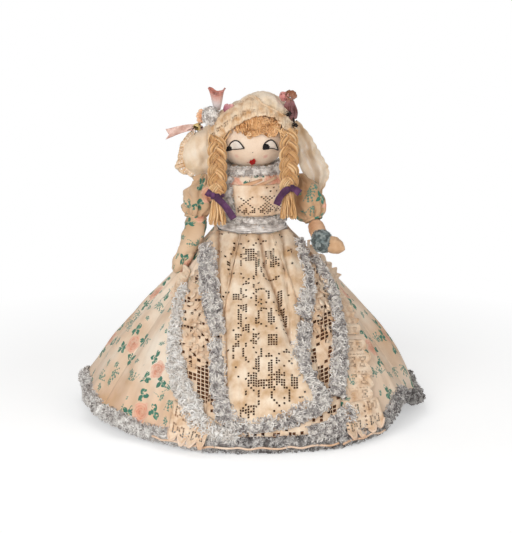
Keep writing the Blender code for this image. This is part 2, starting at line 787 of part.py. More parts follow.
def make_braid(name, top, ribbon_shares, materials):
    top = head_centre(1) + Vector(top)
    holder = make_holder(name + "_braid_axis", top)
    drop = BRAID_LENGTH + TASSEL_LENGTH
    along = Vector((0, -BRAID_LEAN, -drop)).normalized()
    across = Vector((1, 0, 0))
    normal = across.cross(along)
    if normal.y > 0:
        normal = -normal
    paths = [
        [strand_point(top, along, across, normal, step / STRAND_STEPS, strand) for step in range(STRAND_STEPS + 1)]
        for strand in range(3)
    ]
    print(name, "braid: least gap between strands", round(strand_gap(paths) * 1000, 2), "mm")
    strands = []
    for strand, path in enumerate(paths):
        node = name + "_braid" if strand == 0 else name + "_strand_" + str(strand + 1)
        mesh = swept(path, STRAND_RADIUS, STRAND_RADIUS, STRAND_SIDES, normal)
        strands.append(make_object(node, mesh, holder, materials["yarn"]))
    ends = []
    for end, start_share in (("top", 0), ("bottom", 1)):
        middle = top + along * (start_share * BRAID_LENGTH)
        half = along * (BRAID_KNOT_LENGTH / 2)
        path = [middle - half, middle - half / 2, middle + half / 2, middle + half]
        wides = [BRAID_HALF_WIDTH, BRAID_HALF_WIDTH + STRAND_RADIUS / 2] * 2
        wides[2], wides[3] = wides[1], wides[0]
        deeps = [wide * KNOT_DEPTH_SHARE for wide in wides]
        mesh = swept(path, wides, deeps, LIMB_SIDES, normal)
        ends.append(make_object(name + "_knot_" + end, mesh, holder, materials["yarn"]))
    join_solids(strands[0], strands[1:] + ends)

    tassel_start = top + along * (BRAID_LENGTH + BRAID_KNOT_LENGTH / 2 + FIT_GAP)
    path = [tassel_start + along * (TASSEL_LENGTH * share) for share, _ in TASSEL_SHARES]
    wides = [TASSEL_HALF_WIDTH * share for _, share in TASSEL_SHARES]
    deeps = [TASSEL_HALF_DEPTH * share for _, share in TASSEL_SHARES]
    make_object(name + "_tassel", swept(path, wides, deeps, LIMB_SIDES, normal), holder, materials["yarn"])

    stops = [
        tassel_start + along * (TASSEL_LENGTH * low) + across * (TASSEL_LENGTH * step)
        + normal * (ribbon_carrier_depth(low) + TRIM_GAP + RIBBON_HALF_DEPTH)
        for low, step in ribbon_shares
    ]
    ribbon = swept(smooth_path(stops, 3), RIBBON_HALF_WIDTH, RIBBON_HALF_DEPTH, TRIM_SIDES, normal)
    make_object(name + "_braid_ribbon", ribbon, holder, materials["purple_ribbon"])


def make_braids(materials):
    make_braid("left", LEFT_BRAID_TOP, LEFT_RIBBON_SHARES, materials)
    make_braid("right", RIGHT_BRAID_TOP, RIGHT_RIBBON_SHARES, materials)


# Arms

PUFF_SHARES = ((0.0, 0.08), (0.03, 0.24), (0.08, 0.34), (0.14, 0.40), (0.34, 0.86), (0.60, 1.0), (0.84, 0.86),
               (1.0, 0.54))
PLAIN_SLEEVE_SHARES = ((0.0, 0.10), (0.03, 0.28), (0.08, 0.40), (0.14, 0.46), (0.35, 0.84), (0.65, 0.86),
                       (1.0, 0.60))
FOREARM_SHARES = ((0.0, 0.12), (0.02, 0.50), (0.04, 0.66), (0.08, 0.78), (0.30, 1.0), (0.62, 0.84), (0.80, 1.0),
                  (0.93, 0.80), (1.0, 0.25))
ARM_STEPS = 4
SLEEVE_STEP_SHARES = (0.0, 0.03, 0.08, 0.14, 0.24, 0.36, 0.50, 0.66, 0.82, 0.93, 1.0)


def make_arm(name, shoulder, elbow, wrist, fingertip, sleeve_radius, sleeve_shares, cloth, skin):
    direction = (elbow - shoulder).normalized()
    shoulder_axis = make_holder(name + "_shoulder_axis", shoulder)
    elbow_axis = make_holder(name + "_elbow_axis", elbow)
    start = shoulder - direction * SHOULDER_BALL
    end = elbow - direction * (ELBOW_BALL + FIT_GAP)
    path = [start + (end - start) * share for share in SLEEVE_STEP_SHARES]
    forward = (0, -1, 0)
    sleeve = limb(path, sleeve_radius, sleeve_shares, LIMB_SIDES, forward)
    make_object(name + "_sleeve", sleeve, shoulder_axis, cloth)
    first = (wrist - elbow).normalized()
    path = smooth_path([elbow - first * ELBOW_BALL, elbow, wrist, fingertip], ARM_STEPS)
    arm = limb(path, HAND_RADIUS, FOREARM_SHARES, LIMB_SIDES, forward)
    make_object(name + "_forearm", arm, elbow_axis, skin)
    return elbow_axis


def from_waist(places):
    middle = Vector((0, 0, WAIST_HEIGHT))
    return [middle + Vector(place) for place in places]


def make_wrist_cuff(holder, materials):
    # A wool ruff on the right wrist, bored for the forearm
    elbow, wrist, fingertip = from_waist((RIGHT_ELBOW, RIGHT_WRIST, RIGHT_FINGERTIP))
    along = ((wrist - elbow).normalized() + (fingertip - wrist).normalized()).normalized()
    inner = HAND_RADIUS + CUFF_EASE
    middle = (inner + CUFF_RADIUS) / 2
    half_deep = (CUFF_RADIUS - inner) / 2
    first = along.orthogonal().normalized()
    second = along.cross(first)
    rings = []
    for step in range(CUFF_STEPS):
        turn = 2 * pi * step / CUFF_STEPS
        outward = first * cos(turn) + second * sin(turn)
        rings.append([
            wrist + outward * (middle + half_deep * cos(2 * pi * side / TRIM_SIDES))
            + along * (CUFF_HALF_LENGTH * sin(2 * pi * side / TRIM_SIDES))
            for side in range(TRIM_SIDES)
        ])
    make_object("right_wrist_cuff", lofted(rings, closed=True), holder, materials["fur"])


def make_arms(materials):
    shoulder_height = WAIST_HEIGHT + NECK_RISE * SHOULDER_SHARE
    shoulder = Vector((-SHOULDER_HALF_SPAN, 0, shoulder_height))
    make_arm("left", shoulder, *from_waist((LEFT_ELBOW, LEFT_WRIST, LEFT_FINGERTIP)), SLEEVE_RADIUS,
             PUFF_SHARES, materials["print_cotton"], materials["print_cotton"])
    shoulder = Vector((SHOULDER_HALF_SPAN, 0, shoulder_height))
    holder = make_arm("right", shoulder, *from_waist((RIGHT_ELBOW, RIGHT_WRIST, RIGHT_FINGERTIP)),
                      SLEEVE_RADIUS, PUFF_SHARES, materials["print_cotton"], materials["muslin_skin"])
    make_wrist_cuff(holder, materials)
    lower_height = WAIST_HEIGHT - LOWER_NECK_DROP * SHOULDER_SHARE
    for name, mirror in (("lower_left", -1), ("lower_right", 1)):
        shoulder = Vector((mirror * SHOULDER_HALF_SPAN, 0, lower_height))
        elbow = shoulder + Vector((mirror * LOWER_ELBOW_REACH, -LOWER_ELBOW_FORWARD, -LOWER_ELBOW_DROP))
        fingertip = shoulder + Vector((mirror * LOWER_HAND_REACH, -LOWER_HAND_FORWARD, -LOWER_HAND_DROP))
        wrist = elbow + (fingertip - elbow) * LOWER_WRIST_SHARE
        make_arm(name, shoulder, elbow, wrist, fingertip, LOWER_SLEEVE_RADIUS, PLAIN_SLEEVE_SHARES,
                 materials["blue_cotton"], materials["muslin_skin"])


# Skirt

GORE_NAMES = ("front", "front_right", "right", "back_right", "back", "back_left", "left", "front_left")
HEM_LIFTS = (FRONT_HEM_LIFT, FRONT_HEM_LIFT, SIDE_HEM_LIFT, BACK_HEM_LIFT, BACK_HEM_LIFT, BACK_HEM_LIFT,
             LEFT_HEM_LIFT, SIDE_HEM_LIFT)
GORE_FOLDS = (3, 2, 2, 2, 2, 2, 2, 2)
GORE_ROW_SHARES = (0.0, 0.04, 0.14, 0.28, 0.46, 0.65, 0.84, 1.0)
GORE_COLUMNS = 10
BULGE_POWER = 0.8


def gore_turn(gore):
    return radians(FRONT_TURN + 360 * gore / GORES)


def edge_angle(share):
    return EDGE_ANGLE + (HEM_EDGE_ANGLE - EDGE_ANGLE) * share ** 3


def gore_angle(share, across):
    # Angle of the cloth below level, as seen from the hinge, in radians
    share = min(max(share, 0), 1)
    bulge = BULGE_ANGLE * sin(pi * share) ** BULGE_POWER + HEM_ROUND_ANGLE * share ** 2
    return radians(edge_angle(share) - bulge * (1 - across ** 2))


def cloth_length(gore, across):
    # Slope length from the hinge to the hem, so that the hem runs level at its lift
    own = HEM_LIFTS[gore]
    beside = HEM_LIFTS[(gore + (1 if across > 0 else -1)) % GORES]
    lift = own + ((own + beside) / 2 - own) * abs(across)
    drop = WAIST_HEIGHT - lift - 2 * HEM_HALF_HEIGHT * sin(radians(HEM_EDGE_ANGLE)) - HEM_HALF_DEPTH / 2
    return drop / sin(gore_angle(1, across))


def fold_lift(gore, share, across):
    depth = APRON_FOLD_DEPTH if gore == 0 else FOLD_DEPTH
    wave = (1 - cos(pi * GORE_FOLDS[gore] * (across + 1))) / 2
    return depth * max(share, 0) * wave


def gore_half_width(share, slope, reach):
    # Half the width that a gore may have in its wedge, at rest and turned over
    angle = radians(edge_angle(min(max(share, 0), 1)))
    run = HINGE_RADIUS + max(slope, 0) * cos(angle) - reach * sin(angle)
    return run * tan(pi / GORES) - SEAM_GAP / 2


def gore_point(gore, share, across, lift, reach=CLOTH_EDGE_HALF, past=0):
    # share runs from the hinge to the hem, past is a length beyond it, lift is off the cloth
    length = cloth_length(gore, across)
    slope = length * share + past
    angle = gore_angle(share, across)
    height = lift + fold_lift(gore, share, across)
    radial = HINGE_RADIUS + slope * cos(angle) + height * sin(angle)
    rise = WAIST_HEIGHT - slope * sin(angle) + height * cos(angle)
    sideways = across * gore_half_width(share, slope, reach)
    turn = gore_turn(gore)
    return Vector((
        radial * sin(turn) + sideways * cos(turn),
        -radial * cos(turn) + sideways * sin(turn),
        rise,
    ))


def make_gore(gore, holder, material):
    grids = []
    for face in (1, -1):
        grid = []
        for share in GORE_ROW_SHARES:
            row = []
            for column in range(GORE_COLUMNS + 1):
                across = 2 * column / GORE_COLUMNS - 1
                half = CLOTH_EDGE_HALF + (CLOTH_HALF - CLOTH_EDGE_HALF) * (1 - across ** 2) * min(1, share * GORES)
                if share:
                    row.append(gore_point(gore, share, across, face * half))
                else:
                    row.append(gore_point(gore, 0, across, face * CLOTH_EDGE_HALF / 2, past=-CLOTH_TOP_REACH / 2))
            grid.append(row)
        grids.append(grid)
    make_object(GORE_NAMES[gore] + "_gore", slab(*grids), holder, material)


def make_hem(gore, holder, material):
    # The fur hem sits on the cloth's lower edge and ends short of both seams
    reach = HEM_HALF_DEPTH
    rings = []
    for column in range(GORE_COLUMNS + 1):
        across = 2 * column / GORE_COLUMNS - 1
        ring = []
        for side in range(TRIM_SIDES):
            turn = 2 * pi * side / TRIM_SIDES
            past = FIT_GAP + HEM_HALF_HEIGHT * (1 + cos(turn))
            ring.append(gore_point(gore, 1, across, HEM_HALF_DEPTH * sin(turn), reach, past))
        rings.append(ring)
    make_object(GORE_NAMES[gore] + "_hem_fur", lofted(rings), holder, material)


# Routes of the fur trims over the skirt: share of the slope, then turn from the front
APRON_LEFT_SHARES = ((0.09, -72.0), (0.18, -50.0), (0.31, -31.0), (0.45, -21.0), (0.60, -14.7), (0.76, -11.0),
                    (0.88, -8.0))
APRON_HEM_SHARES = ((0.88, -8.0), (0.915, -5.5), (0.915, 0.0), (0.90, 8.0), (0.885, 17.0), (0.85, 24.0))
APRON_RIGHT_SHARES = ((0.85, 24.0), (0.76, 23.0), (0.62, 25.1), (0.47, 29.5), (0.34, 37.8), (0.20, 57.0),
                     (0.09, 82.0))
OUTER_LEFT_SHARES = ((0.24, -79.0), (0.32, -61.5), (0.41, -47.3), (0.58, -35.0), (0.76, -28.0), (0.93, -26.6))
OUTER_RIGHT_SHARES = ((0.24, 74.0), (0.38, 61.8), (0.50, 53.0), (0.60, 46.2), (0.70, 39.0), (0.80, 34.5),
                     (0.92, 34.0))
ROUTE_STEPS = 12
ROUTE_NEAR_SHARE = 0.07
ROUTE_REACH_TURN = 60.0


def route_on_gore(route, gore):
    # The stretch of a route that lies inside one gore, as (share, across)
    stops = smooth_path([(share, turn, 0) for share, turn in route], ROUTE_STEPS)
    stretch = []
    centre = degrees(gore_turn(gore))
    for stop in stops:
        turn = (stop.y - centre + 180) % 360 - 180
        if abs(turn) > ROUTE_REACH_TURN:
            continue
        length = cloth_length(gore, 0)
        radial = HINGE_RADIUS + stop.x * length * cos(gore_angle(stop.x, 0))
        reach = 2 * TRIM_HALF_DEPTH + SKIRT_TRIM_GAP
        limit = gore_half_width(stop.x, stop.x * length, reach)
        sideways = radial * tan(radians(turn))
        if abs(sideways) < limit - TRIM_HALF_WIDTH:
            stretch.append((stop.x, sideways / gore_half_width(stop.x, stop.x * length, CLOTH_EDGE_HALF)))
    return stretch


def thinned(stretch):
    # Both ends, and between them the stops that lie far enough apart
    kept = [stretch[0]]
    for stop in stretch[1:-1]:
        if min((Vector(stop) - Vector(end)).length for end in (kept[-1], stretch[-1])) > ROUTE_NEAR_SHARE:
            kept.append(stop)
    return kept + [stretch[-1]]


def make_skirt_trim(name, gore, routes, holder, material):
    stretch = thinned([stop for route in routes for stop in route_on_gore(route, gore)])
    lift = CLOTH_HALF + SKIRT_TRIM_GAP + TRIM_HALF_DEPTH
    path = [gore_point(gore, share, across, lift) for share, across in stretch]
    above = [gore_point(gore, share, across, lift + TRIM_HALF_DEPTH) for share, across in stretch]
    rings = []
    for point, raised, along in zip(path, above, tangents(path)):
        normal = (raised - point).normalized()
        normal = (normal - along * normal.dot(along)).normalized()
        across = along.cross(normal)
        rings.append([
            point + across * (TRIM_HALF_WIDTH * cos(2 * pi * side / TRIM_SIDES))
            + normal * (TRIM_HALF_DEPTH * sin(2 * pi * side / TRIM_SIDES))
            for side in range(TRIM_SIDES)
        ])
    make_object(name, lofted(rings), holder, material)


def make_skirt(materials):
    holders = []
    for gore, name in enumerate(GORE_NAMES):
        turn = gore_turn(gore)
        place = (HINGE_RADIUS * sin(turn), -HINGE_RADIUS * cos(turn), WAIST_HEIGHT)
        holder = make_holder(name + "_gore_axis", place)
        holders.append(holder)
        cloth = materials["apron_lace"] if gore == 0 else materials["print_cotton"]
        make_gore(gore, holder, cloth)
        make_hem(gore, holder, materials["fur"])
    fur = materials["fur"]
    front = 0
    right = 1
    left = GORES - 1
    make_skirt_trim("apron_fur_trim", front, (APRON_LEFT_SHARES, APRON_HEM_SHARES, APRON_RIGHT_SHARES),
                    holders[front], fur)
    make_skirt_trim("left_apron_trim", left, (APRON_LEFT_SHARES,), holders[left], fur)
    make_skirt_trim("right_apron_trim", right, (APRON_RIGHT_SHARES,), holders[right], fur)
    make_skirt_trim("left_panel_trim", left, (OUTER_LEFT_SHARES,), holders[left], fur)
    make_skirt_trim("right_panel_trim", right, (OUTER_RIGHT_SHARES,), holders[right], fur)


def make_materials():
    return {
        "print_cotton": make_material("print_cotton", (0.78, 0.66, 0.53), 0.9),
        "apron_lace": make_material("apron_lace", (0.66, 0.54, 0.40), 0.9),
        "lace": make_material("lace", (0.80, 0.71, 0.57), 0.9),
        "gauze": make_material("gauze", (0.84, 0.76, 0.63), 0.9),
        "fur": make_material("fur", (0.44, 0.48, 0.54), 1.0),
        "yarn": make_material("yarn", (0.68, 0.50, 0.29), 0.95),
        "dark_yarn": make_material("dark_yarn", (0.16, 0.09, 0.05), 0.95),
        "muslin": make_material("muslin", (0.86, 0.82, 0.74), 0.9),
        "muslin_skin": make_material("muslin_skin", (0.86, 0.77, 0.66), 0.85),
        "blue_cotton": make_material("blue_cotton", (0.33, 0.42, 0.52), 0.9),
        "satin": make_material("satin", (0.74, 0.74, 0.72), 0.35),
        "pink_ribbon": make_material("pink_ribbon", (0.72, 0.45, 0.44), 0.6),
        "peach_petal": make_material("peach_petal", (0.78, 0.58, 0.44), 0.8),
        "mauve_petal": make_material("mauve_petal", (0.34, 0.16, 0.18), 0.8),
        "purple_ribbon": make_material("purple_ribbon", (0.21, 0.10, 0.24), 0.5),
    }


def main():
    clear_scene()
    materials = make_materials()
    make_torso("upper_torso", NECK_RISE, 1, materials["print_cotton"])
    make_torso("lower_torso", LOWER_NECK_DROP, -1, materials["blue_cotton"])
    make_head("upper_head", 1, HEAD_TILT, materials["muslin_skin"])
    make_head("lower_head", -1, LOWER_HEAD_TILT, materials["muslin_skin"])
    make_hair(materials)
    make_bonnet(materials)
    make_cap(materials)
    make_bodice_trims(materials)
    make_flowers(materials)
    make_lappets(materials)
    make_braids(materials)
    make_arms(materials)
    make_skirt(materials)


main()
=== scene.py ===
import bpy
import bmesh
import numpy as np
from math import cos, degrees, pi, radians, sin, sqrt
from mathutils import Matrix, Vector
from mathutils.bvhtree import BVHTree


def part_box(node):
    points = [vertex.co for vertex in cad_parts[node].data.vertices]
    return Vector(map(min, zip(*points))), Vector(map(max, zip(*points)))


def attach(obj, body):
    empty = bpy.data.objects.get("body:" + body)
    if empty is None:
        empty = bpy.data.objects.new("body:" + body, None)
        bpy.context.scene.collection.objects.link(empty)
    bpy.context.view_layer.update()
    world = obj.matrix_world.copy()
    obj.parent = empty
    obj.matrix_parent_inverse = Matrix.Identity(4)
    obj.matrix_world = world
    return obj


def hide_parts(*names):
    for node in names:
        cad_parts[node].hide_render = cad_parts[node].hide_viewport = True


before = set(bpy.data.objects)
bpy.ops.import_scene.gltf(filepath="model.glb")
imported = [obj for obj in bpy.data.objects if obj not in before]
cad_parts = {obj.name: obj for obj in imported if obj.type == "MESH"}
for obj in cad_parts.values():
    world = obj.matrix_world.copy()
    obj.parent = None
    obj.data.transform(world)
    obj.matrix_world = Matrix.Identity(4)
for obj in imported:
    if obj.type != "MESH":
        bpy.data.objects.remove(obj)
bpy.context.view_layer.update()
print("frame loaded")

# Topsy turvy doll, dressed. Metres, Z up, the front is -Y.
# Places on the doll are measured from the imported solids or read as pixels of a 512 x 533 picture.

camera = {
    "distance": 2.3,
    "elevation": 13.5,       # degrees above level
    "metresPerPixel": 0.00097,
    "axisPixel": (252, 405), # where the doll's axis meets the floor
    "picture": (512, 533),
    "sensor": 36,
}
light = {
    "keyPower": 28, "keySize": 1.3, "keyPlace": (-0.62, -1.85, 0.7),
    "fillPower": 7.5, "fillSize": 1.2, "fillPlace": (1.3, -1.1, 0.7),
    "topPower": 4, "topSize": 1.0, "topPlace": (-0.3, 0.5, 1.6),
    "ambient": 0.3, "floorGlow": 0.45,
}


def lookDirection():
    lift = radians(camera["elevation"])
    return Vector((0, cos(lift), -sin(lift)))


def viewTarget():
    # The point of the doll's axis plane that the middle of the picture shows
    width, height = camera["picture"]
    lift = radians(camera["elevation"])
    aside = (width / 2 - camera["axisPixel"][0]) * camera["metresPerPixel"]
    up = (camera["axisPixel"][1] - height / 2) * camera["metresPerPixel"]
    return Vector((aside, 0, up / cos(lift)))


def pixelRay(pixel):
    # Start and direction of the line of sight through one pixel
    width, height = camera["picture"]
    lift = radians(camera["elevation"])
    right = Vector((1, 0, 0))
    above = Vector((0, sin(lift), cos(lift)))
    start = viewTarget() - lookDirection() * camera["distance"]
    seen = (viewTarget() + right * ((pixel[0] - width / 2) * camera["metresPerPixel"])
            + above * ((height / 2 - pixel[1]) * camera["metresPerPixel"]))
    return start, (seen - start).normalized()


def seenPixel(points):
    # Where the picture shows points, as two arrays
    width, height = camera["picture"]
    lift = radians(camera["elevation"])
    start = np.array(viewTarget() - lookDirection() * camera["distance"])
    away = np.asarray(points) - start
    scale = camera["distance"] / (away @ np.array(lookDirection())) / camera["metresPerPixel"]
    up = away @ np.array((0, sin(lift), cos(lift)))
    return width / 2 + away[..., 0] * scale, height / 2 - up * scale


def makeCamera():
    data = bpy.data.cameras.new("camera")
    data.sensor_fit = "HORIZONTAL"
    data.sensor_width = camera["sensor"]
    wide = camera["picture"][0] * camera["metresPerPixel"]
    data.lens = camera["sensor"] * camera["distance"] / wide
    item = bpy.data.objects.new("camera", data)
    item.location = viewTarget() - lookDirection() * camera["distance"]
    item.rotation_euler = lookDirection().to_track_quat("-Z", "Y").to_euler()
    bpy.context.scene.collection.objects.link(item)
    bpy.context.scene.camera = item


def makeLights():
    for name in ("key", "fill", "top"):
        data = bpy.data.lights.new(name, "AREA")
        data.energy = light[name + "Power"]
        data.size = light[name + "Size"]
        item = bpy.data.objects.new(name, data)
        item.location = light[name + "Place"]
        toDoll = Vector((0, 0, 0.15)) - item.location
        item.rotation_euler = toDoll.to_track_quat("-Z", "Y").to_euler()
        bpy.context.scene.collection.objects.link(item)
    bpy.context.scene.view_settings.view_transform = "Standard"


# small tools for node materials

def tone(text):
    # "#RRGGBB" as a linear colour
    parts = [int(text[place:place + 2], 16) / 255 for place in (1, 3, 5)]
    return tuple(part / 12.92 if part <= 0.04045 else ((part + 0.055) / 1.055) ** 2.4
                 for part in parts) + (1,)


def addNode(tree, kind, inputs=None, **settings):
    made = tree.nodes.new("ShaderNode" + kind)
    for key, value in settings.items():
        setattr(made, key, value)
    for key, value in (inputs or {}).items():
        socket = made.inputs[key]
        if isinstance(value, bpy.types.NodeSocket):
            tree.links.new(value, socket)
        else:
            socket.default_value = value
    return made


def calc(tree, operation, first, second=0.0, third=0.0):
    made = addNode(tree, "Math", {0: first, 1: second, 2: third}, operation=operation)
    return made.outputs[0]


def blendTones(tree, factor, first, second, way="MIX"):
    made = addNode(tree, "Mix", {0: factor, 6: first, 7: second}, data_type="RGBA", blend_type=way)
    return made.outputs[2]


def rampTones(tree, factor, stops):
    made = addNode(tree, "ValToRGB", {"Fac": factor})
    elements = made.color_ramp.elements
    while len(elements) < len(stops):
        elements.new(0.5)
    for element, (place, colour) in zip(elements, stops):
        element.position = place
        element.color = tone(colour)
    return made.outputs["Color"]


def rampValue(tree, factor, low, high, first=0.0, second=1.0):
    made = addNode(tree, "MapRange", {"Value": factor, "From Min": low, "From Max": high,
                                      "To Min": first, "To Max": second})
    return made.outputs[0]


def startMaterial(name, roughness=0.9, sheen=0.0):
    material = bpy.data.materials.new(name)
    material.use_nodes = True
    tree = material.node_tree
    shader = tree.nodes["Principled BSDF"]
    shader.inputs["Roughness"].default_value = roughness
    shader.inputs["Specular IOR Level"].default_value = 0.18
    if sheen:
        shader.inputs["Sheen Weight"].default_value = sheen
        shader.inputs["Sheen Roughness"].default_value = 0.5
    return material, tree, shader


def clothSpot(tree):
    # Place on the flat cloth, in metres
    return addNode(tree, "UVMap", uv_map="cloth").outputs[0]


def restSpot(tree):
    return addNode(tree, "TexCoord").outputs["Object"]


def noiseAt(tree, spot, size, detail=3.0, rough=0.55):
    made = addNode(tree, "TexNoise", {"Vector": spot, "Scale": 1 / size, "Detail": detail,
                                      "Roughness": rough})
    return made.outputs["Fac"]


def weaveHeight(tree, spot, pitch):
    # Threads over and under, as the product of two waves
    parts = addNode(tree, "SeparateXYZ", {0: spot}).outputs
    across = calc(tree, "SINE", calc(tree, "MULTIPLY", parts[0], 2 * pi / pitch))
    along = calc(tree, "SINE", calc(tree, "MULTIPLY", parts[1], 2 * pi / pitch))
    return calc(tree, "MULTIPLY", across, along)


def bumpInto(tree, shader, height, strength, distance=0.0005):
    made = addNode(tree, "Bump", {"Height": height, "Strength": strength, "Distance": distance})
    tree.links.new(made.outputs[0], shader.inputs["Normal"])


def plainCloth(name, main, shade, light, pitch=0.0006, size=0.02, roughness=0.9, sheen=0.15):
    # Woven cloth with soft uneven colour and slubs in the thread
    material, tree, shader = startMaterial(name, roughness, sheen)
    spot = restSpot(tree)
    patches = rampTones(tree, noiseAt(tree, spot, size), [(0.3, shade), (0.5, main), (0.72, light)])
    grain = noiseAt(tree, spot, 0.0014, 2.0)
    colour = blendTones(tree, rampValue(tree, grain, 0.35, 0.75, 0.0, 0.22), patches, tone(shade))
    tree.links.new(colour, shader.inputs["Base Color"])
    height = calc(tree, "ADD", calc(tree, "MULTIPLY", weaveHeight(tree, spot, pitch), 0.3),
                  noiseAt(tree, spot, 0.0012, 2.0))
    bumpInto(tree, shader, height, 0.35)
    return material


# small tools for meshes

def ripple(places, size, seed, waves=7):
    # A smooth irregular field of about -1 to 1, from crossing waves
    source = np.random.default_rng(seed)
    total = 0.0
    for _ in range(waves):
        heading = source.normal(size=places.shape[-1])
        heading /= np.linalg.norm(heading)
        beat = 2 * pi / (size * source.uniform(0.7, 1.7))
        total = total + np.sin(places @ heading * beat + source.uniform(0, 2 * pi))
    return total / sqrt(waves)


def gridFaces(rows, columns, start=0, flip=False, around=False):
    faces = []
    spans = columns if around else columns - 1
    for row in range(rows - 1):
        for column in range(spans):
            here = start + row * columns + column
            beside = start + row * columns + (column + 1) % columns
            quad = (here, beside, beside + columns, here + columns)
            faces.append(tuple(reversed(quad)) if flip else quad)
    return faces


def makePiece(name, points, faces, material, body, flat=None, replaces=(), tidy=True):
    mesh = bpy.data.meshes.new(name)
    mesh.from_pydata(np.asarray(points, dtype=float).reshape(-1, 3).tolist(), [], faces)
    if flat is not None:
        layer = mesh.uv_layers.new(name="cloth")
        corners = np.empty(len(mesh.loops), dtype=np.int32)
        mesh.loops.foreach_get("vertex_index", corners)
        layer.data.foreach_set("uv", np.asarray(flat, dtype=float).reshape(-1, 2)[corners].ravel())
    if tidy:
        work = bmesh.new()
        work.from_mesh(mesh)
        bmesh.ops.recalc_face_normals(work, faces=work.faces)
        work.to_mesh(mesh)
        work.free()
    mesh.shade_smooth()
    mesh.materials.append(material)
    item = bpy.data.objects.new(name, mesh)
    bpy.context.scene.collection.objects.link(item)
    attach(item, body)
    if replaces:
        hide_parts(*replaces)
    return item


def slabMesh(outer, inner):
    # Two grids of one size become a thin closed sheet
    rows, columns = outer.shape[:2]
    half = rows * columns
    faces = gridFaces(rows, columns) + gridFaces(rows, columns, half, flip=True)
    border = list(range(columns))
    border += [row * columns + columns - 1 for row in range(1, rows)]
    border += [(rows - 1) * columns + column for column in range(columns - 2, -1, -1)]
    border += [row * columns for row in range(rows - 2, 0, -1)]
    for place, here in enumerate(border):
        ahead = border[(place + 1) % len(border)]
        faces.append((ahead, here, half + here, half + ahead))
    return np.concatenate([outer.reshape(-1, 3), inner.reshape(-1, 3)]), faces


def tubeRings(path, normal, wide, deep, sides, phase=0.0):
    # Rings of an oval tube along a path; wide and deep are one value or one for each point
    path = np.asarray(path, dtype=float)
    along = np.gradient(path, axis=0)
    along /= np.linalg.norm(along, axis=1)[:, None]
    normal = np.broadcast_to(np.asarray(normal, dtype=float), path.shape)
    normal = normal - along * np.sum(normal * along, axis=1)[:, None]
    normal /= np.linalg.norm(normal, axis=1)[:, None]
    across = np.cross(along, normal)
    turn = 2 * pi * np.arange(sides) / sides + phase
    wide = np.broadcast_to(np.asarray(wide, dtype=float), (len(path),))
    deep = np.broadcast_to(np.asarray(deep, dtype=float), (len(path),))
    return (path[:, None, :] + across[:, None, :] * (wide[:, None] * np.cos(turn))[:, :, None]
            + normal[:, None, :] * (deep[:, None] * np.sin(turn))[:, :, None])


def ringsMesh(rings, start=0):
    # A capped tube from rings of equal count
    rows, sides = rings.shape[:2]
    faces = gridFaces(rows, sides, start, around=True)
    faces.append(tuple(start + side for side in reversed(range(sides))))
    faces.append(tuple(start + (rows - 1) * sides + side for side in range(sides)))
    return rings.reshape(-1, 3), faces


def joinTubes(tubes):
    points = []
    faces = []
    count = 0
    for rings in tubes:
        part, partFaces = ringsMesh(rings, count)
        points.append(part)
        faces += partFaces
        count += len(part)
    return np.concatenate(points), faces


def curve(stops, steps):
    # Catmull-Rom curve through the stops
    stops = np.asarray(stops, dtype=float)
    padded = np.concatenate([2 * stops[:1] - stops[1:2], stops, 2 * stops[-1:] - stops[-2:-1]])
    path = []
    for place in range(1, len(padded) - 2):
        before, start, end, after = padded[place - 1:place + 3]
        for step in range(steps):
            share = step / steps
            path.append(0.5 * (2 * start + (end - before) * share
                               + (2 * before - 5 * start + 4 * end - after) * share ** 2
                               + (3 * start - before - 3 * end + after) * share ** 3))
    path.append(stops[-1])
    return np.array(path)


# fur: looped wool tufts over a soft core

furLook = {
    "loopRadius": 0.0011, "threadRadius": 0.0003, "sides": 3, "steps": 6,
    "tones": [(0.0, "#6C625C"), (0.15, "#A79F9B"), (0.38, "#CFC8C4"), (0.66, "#ECE5DE"), (1.0, "#FDF8F0")],
}


def furMaterial(name, tones):
    material, tree, shader = startMaterial(name, 0.95, 0.35)
    island = addNode(tree, "NewGeometry").outputs["Random Per Island"]
    spot = restSpot(tree)
    cloud = rampValue(tree, noiseAt(tree, spot, 0.0052, 1.0), 0.4, 0.56)
    mixed = calc(tree, "ADD", calc(tree, "MULTIPLY", island, 0.34), calc(tree, "MULTIPLY", cloud, 0.64))
    colour = rampTones(tree, mixed, tones)
    tree.links.new(colour, shader.inputs["Base Color"])
    bumpInto(tree, shader, noiseAt(tree, spot, 0.0009, 2.0), 0.5, 0.0004)
    return material


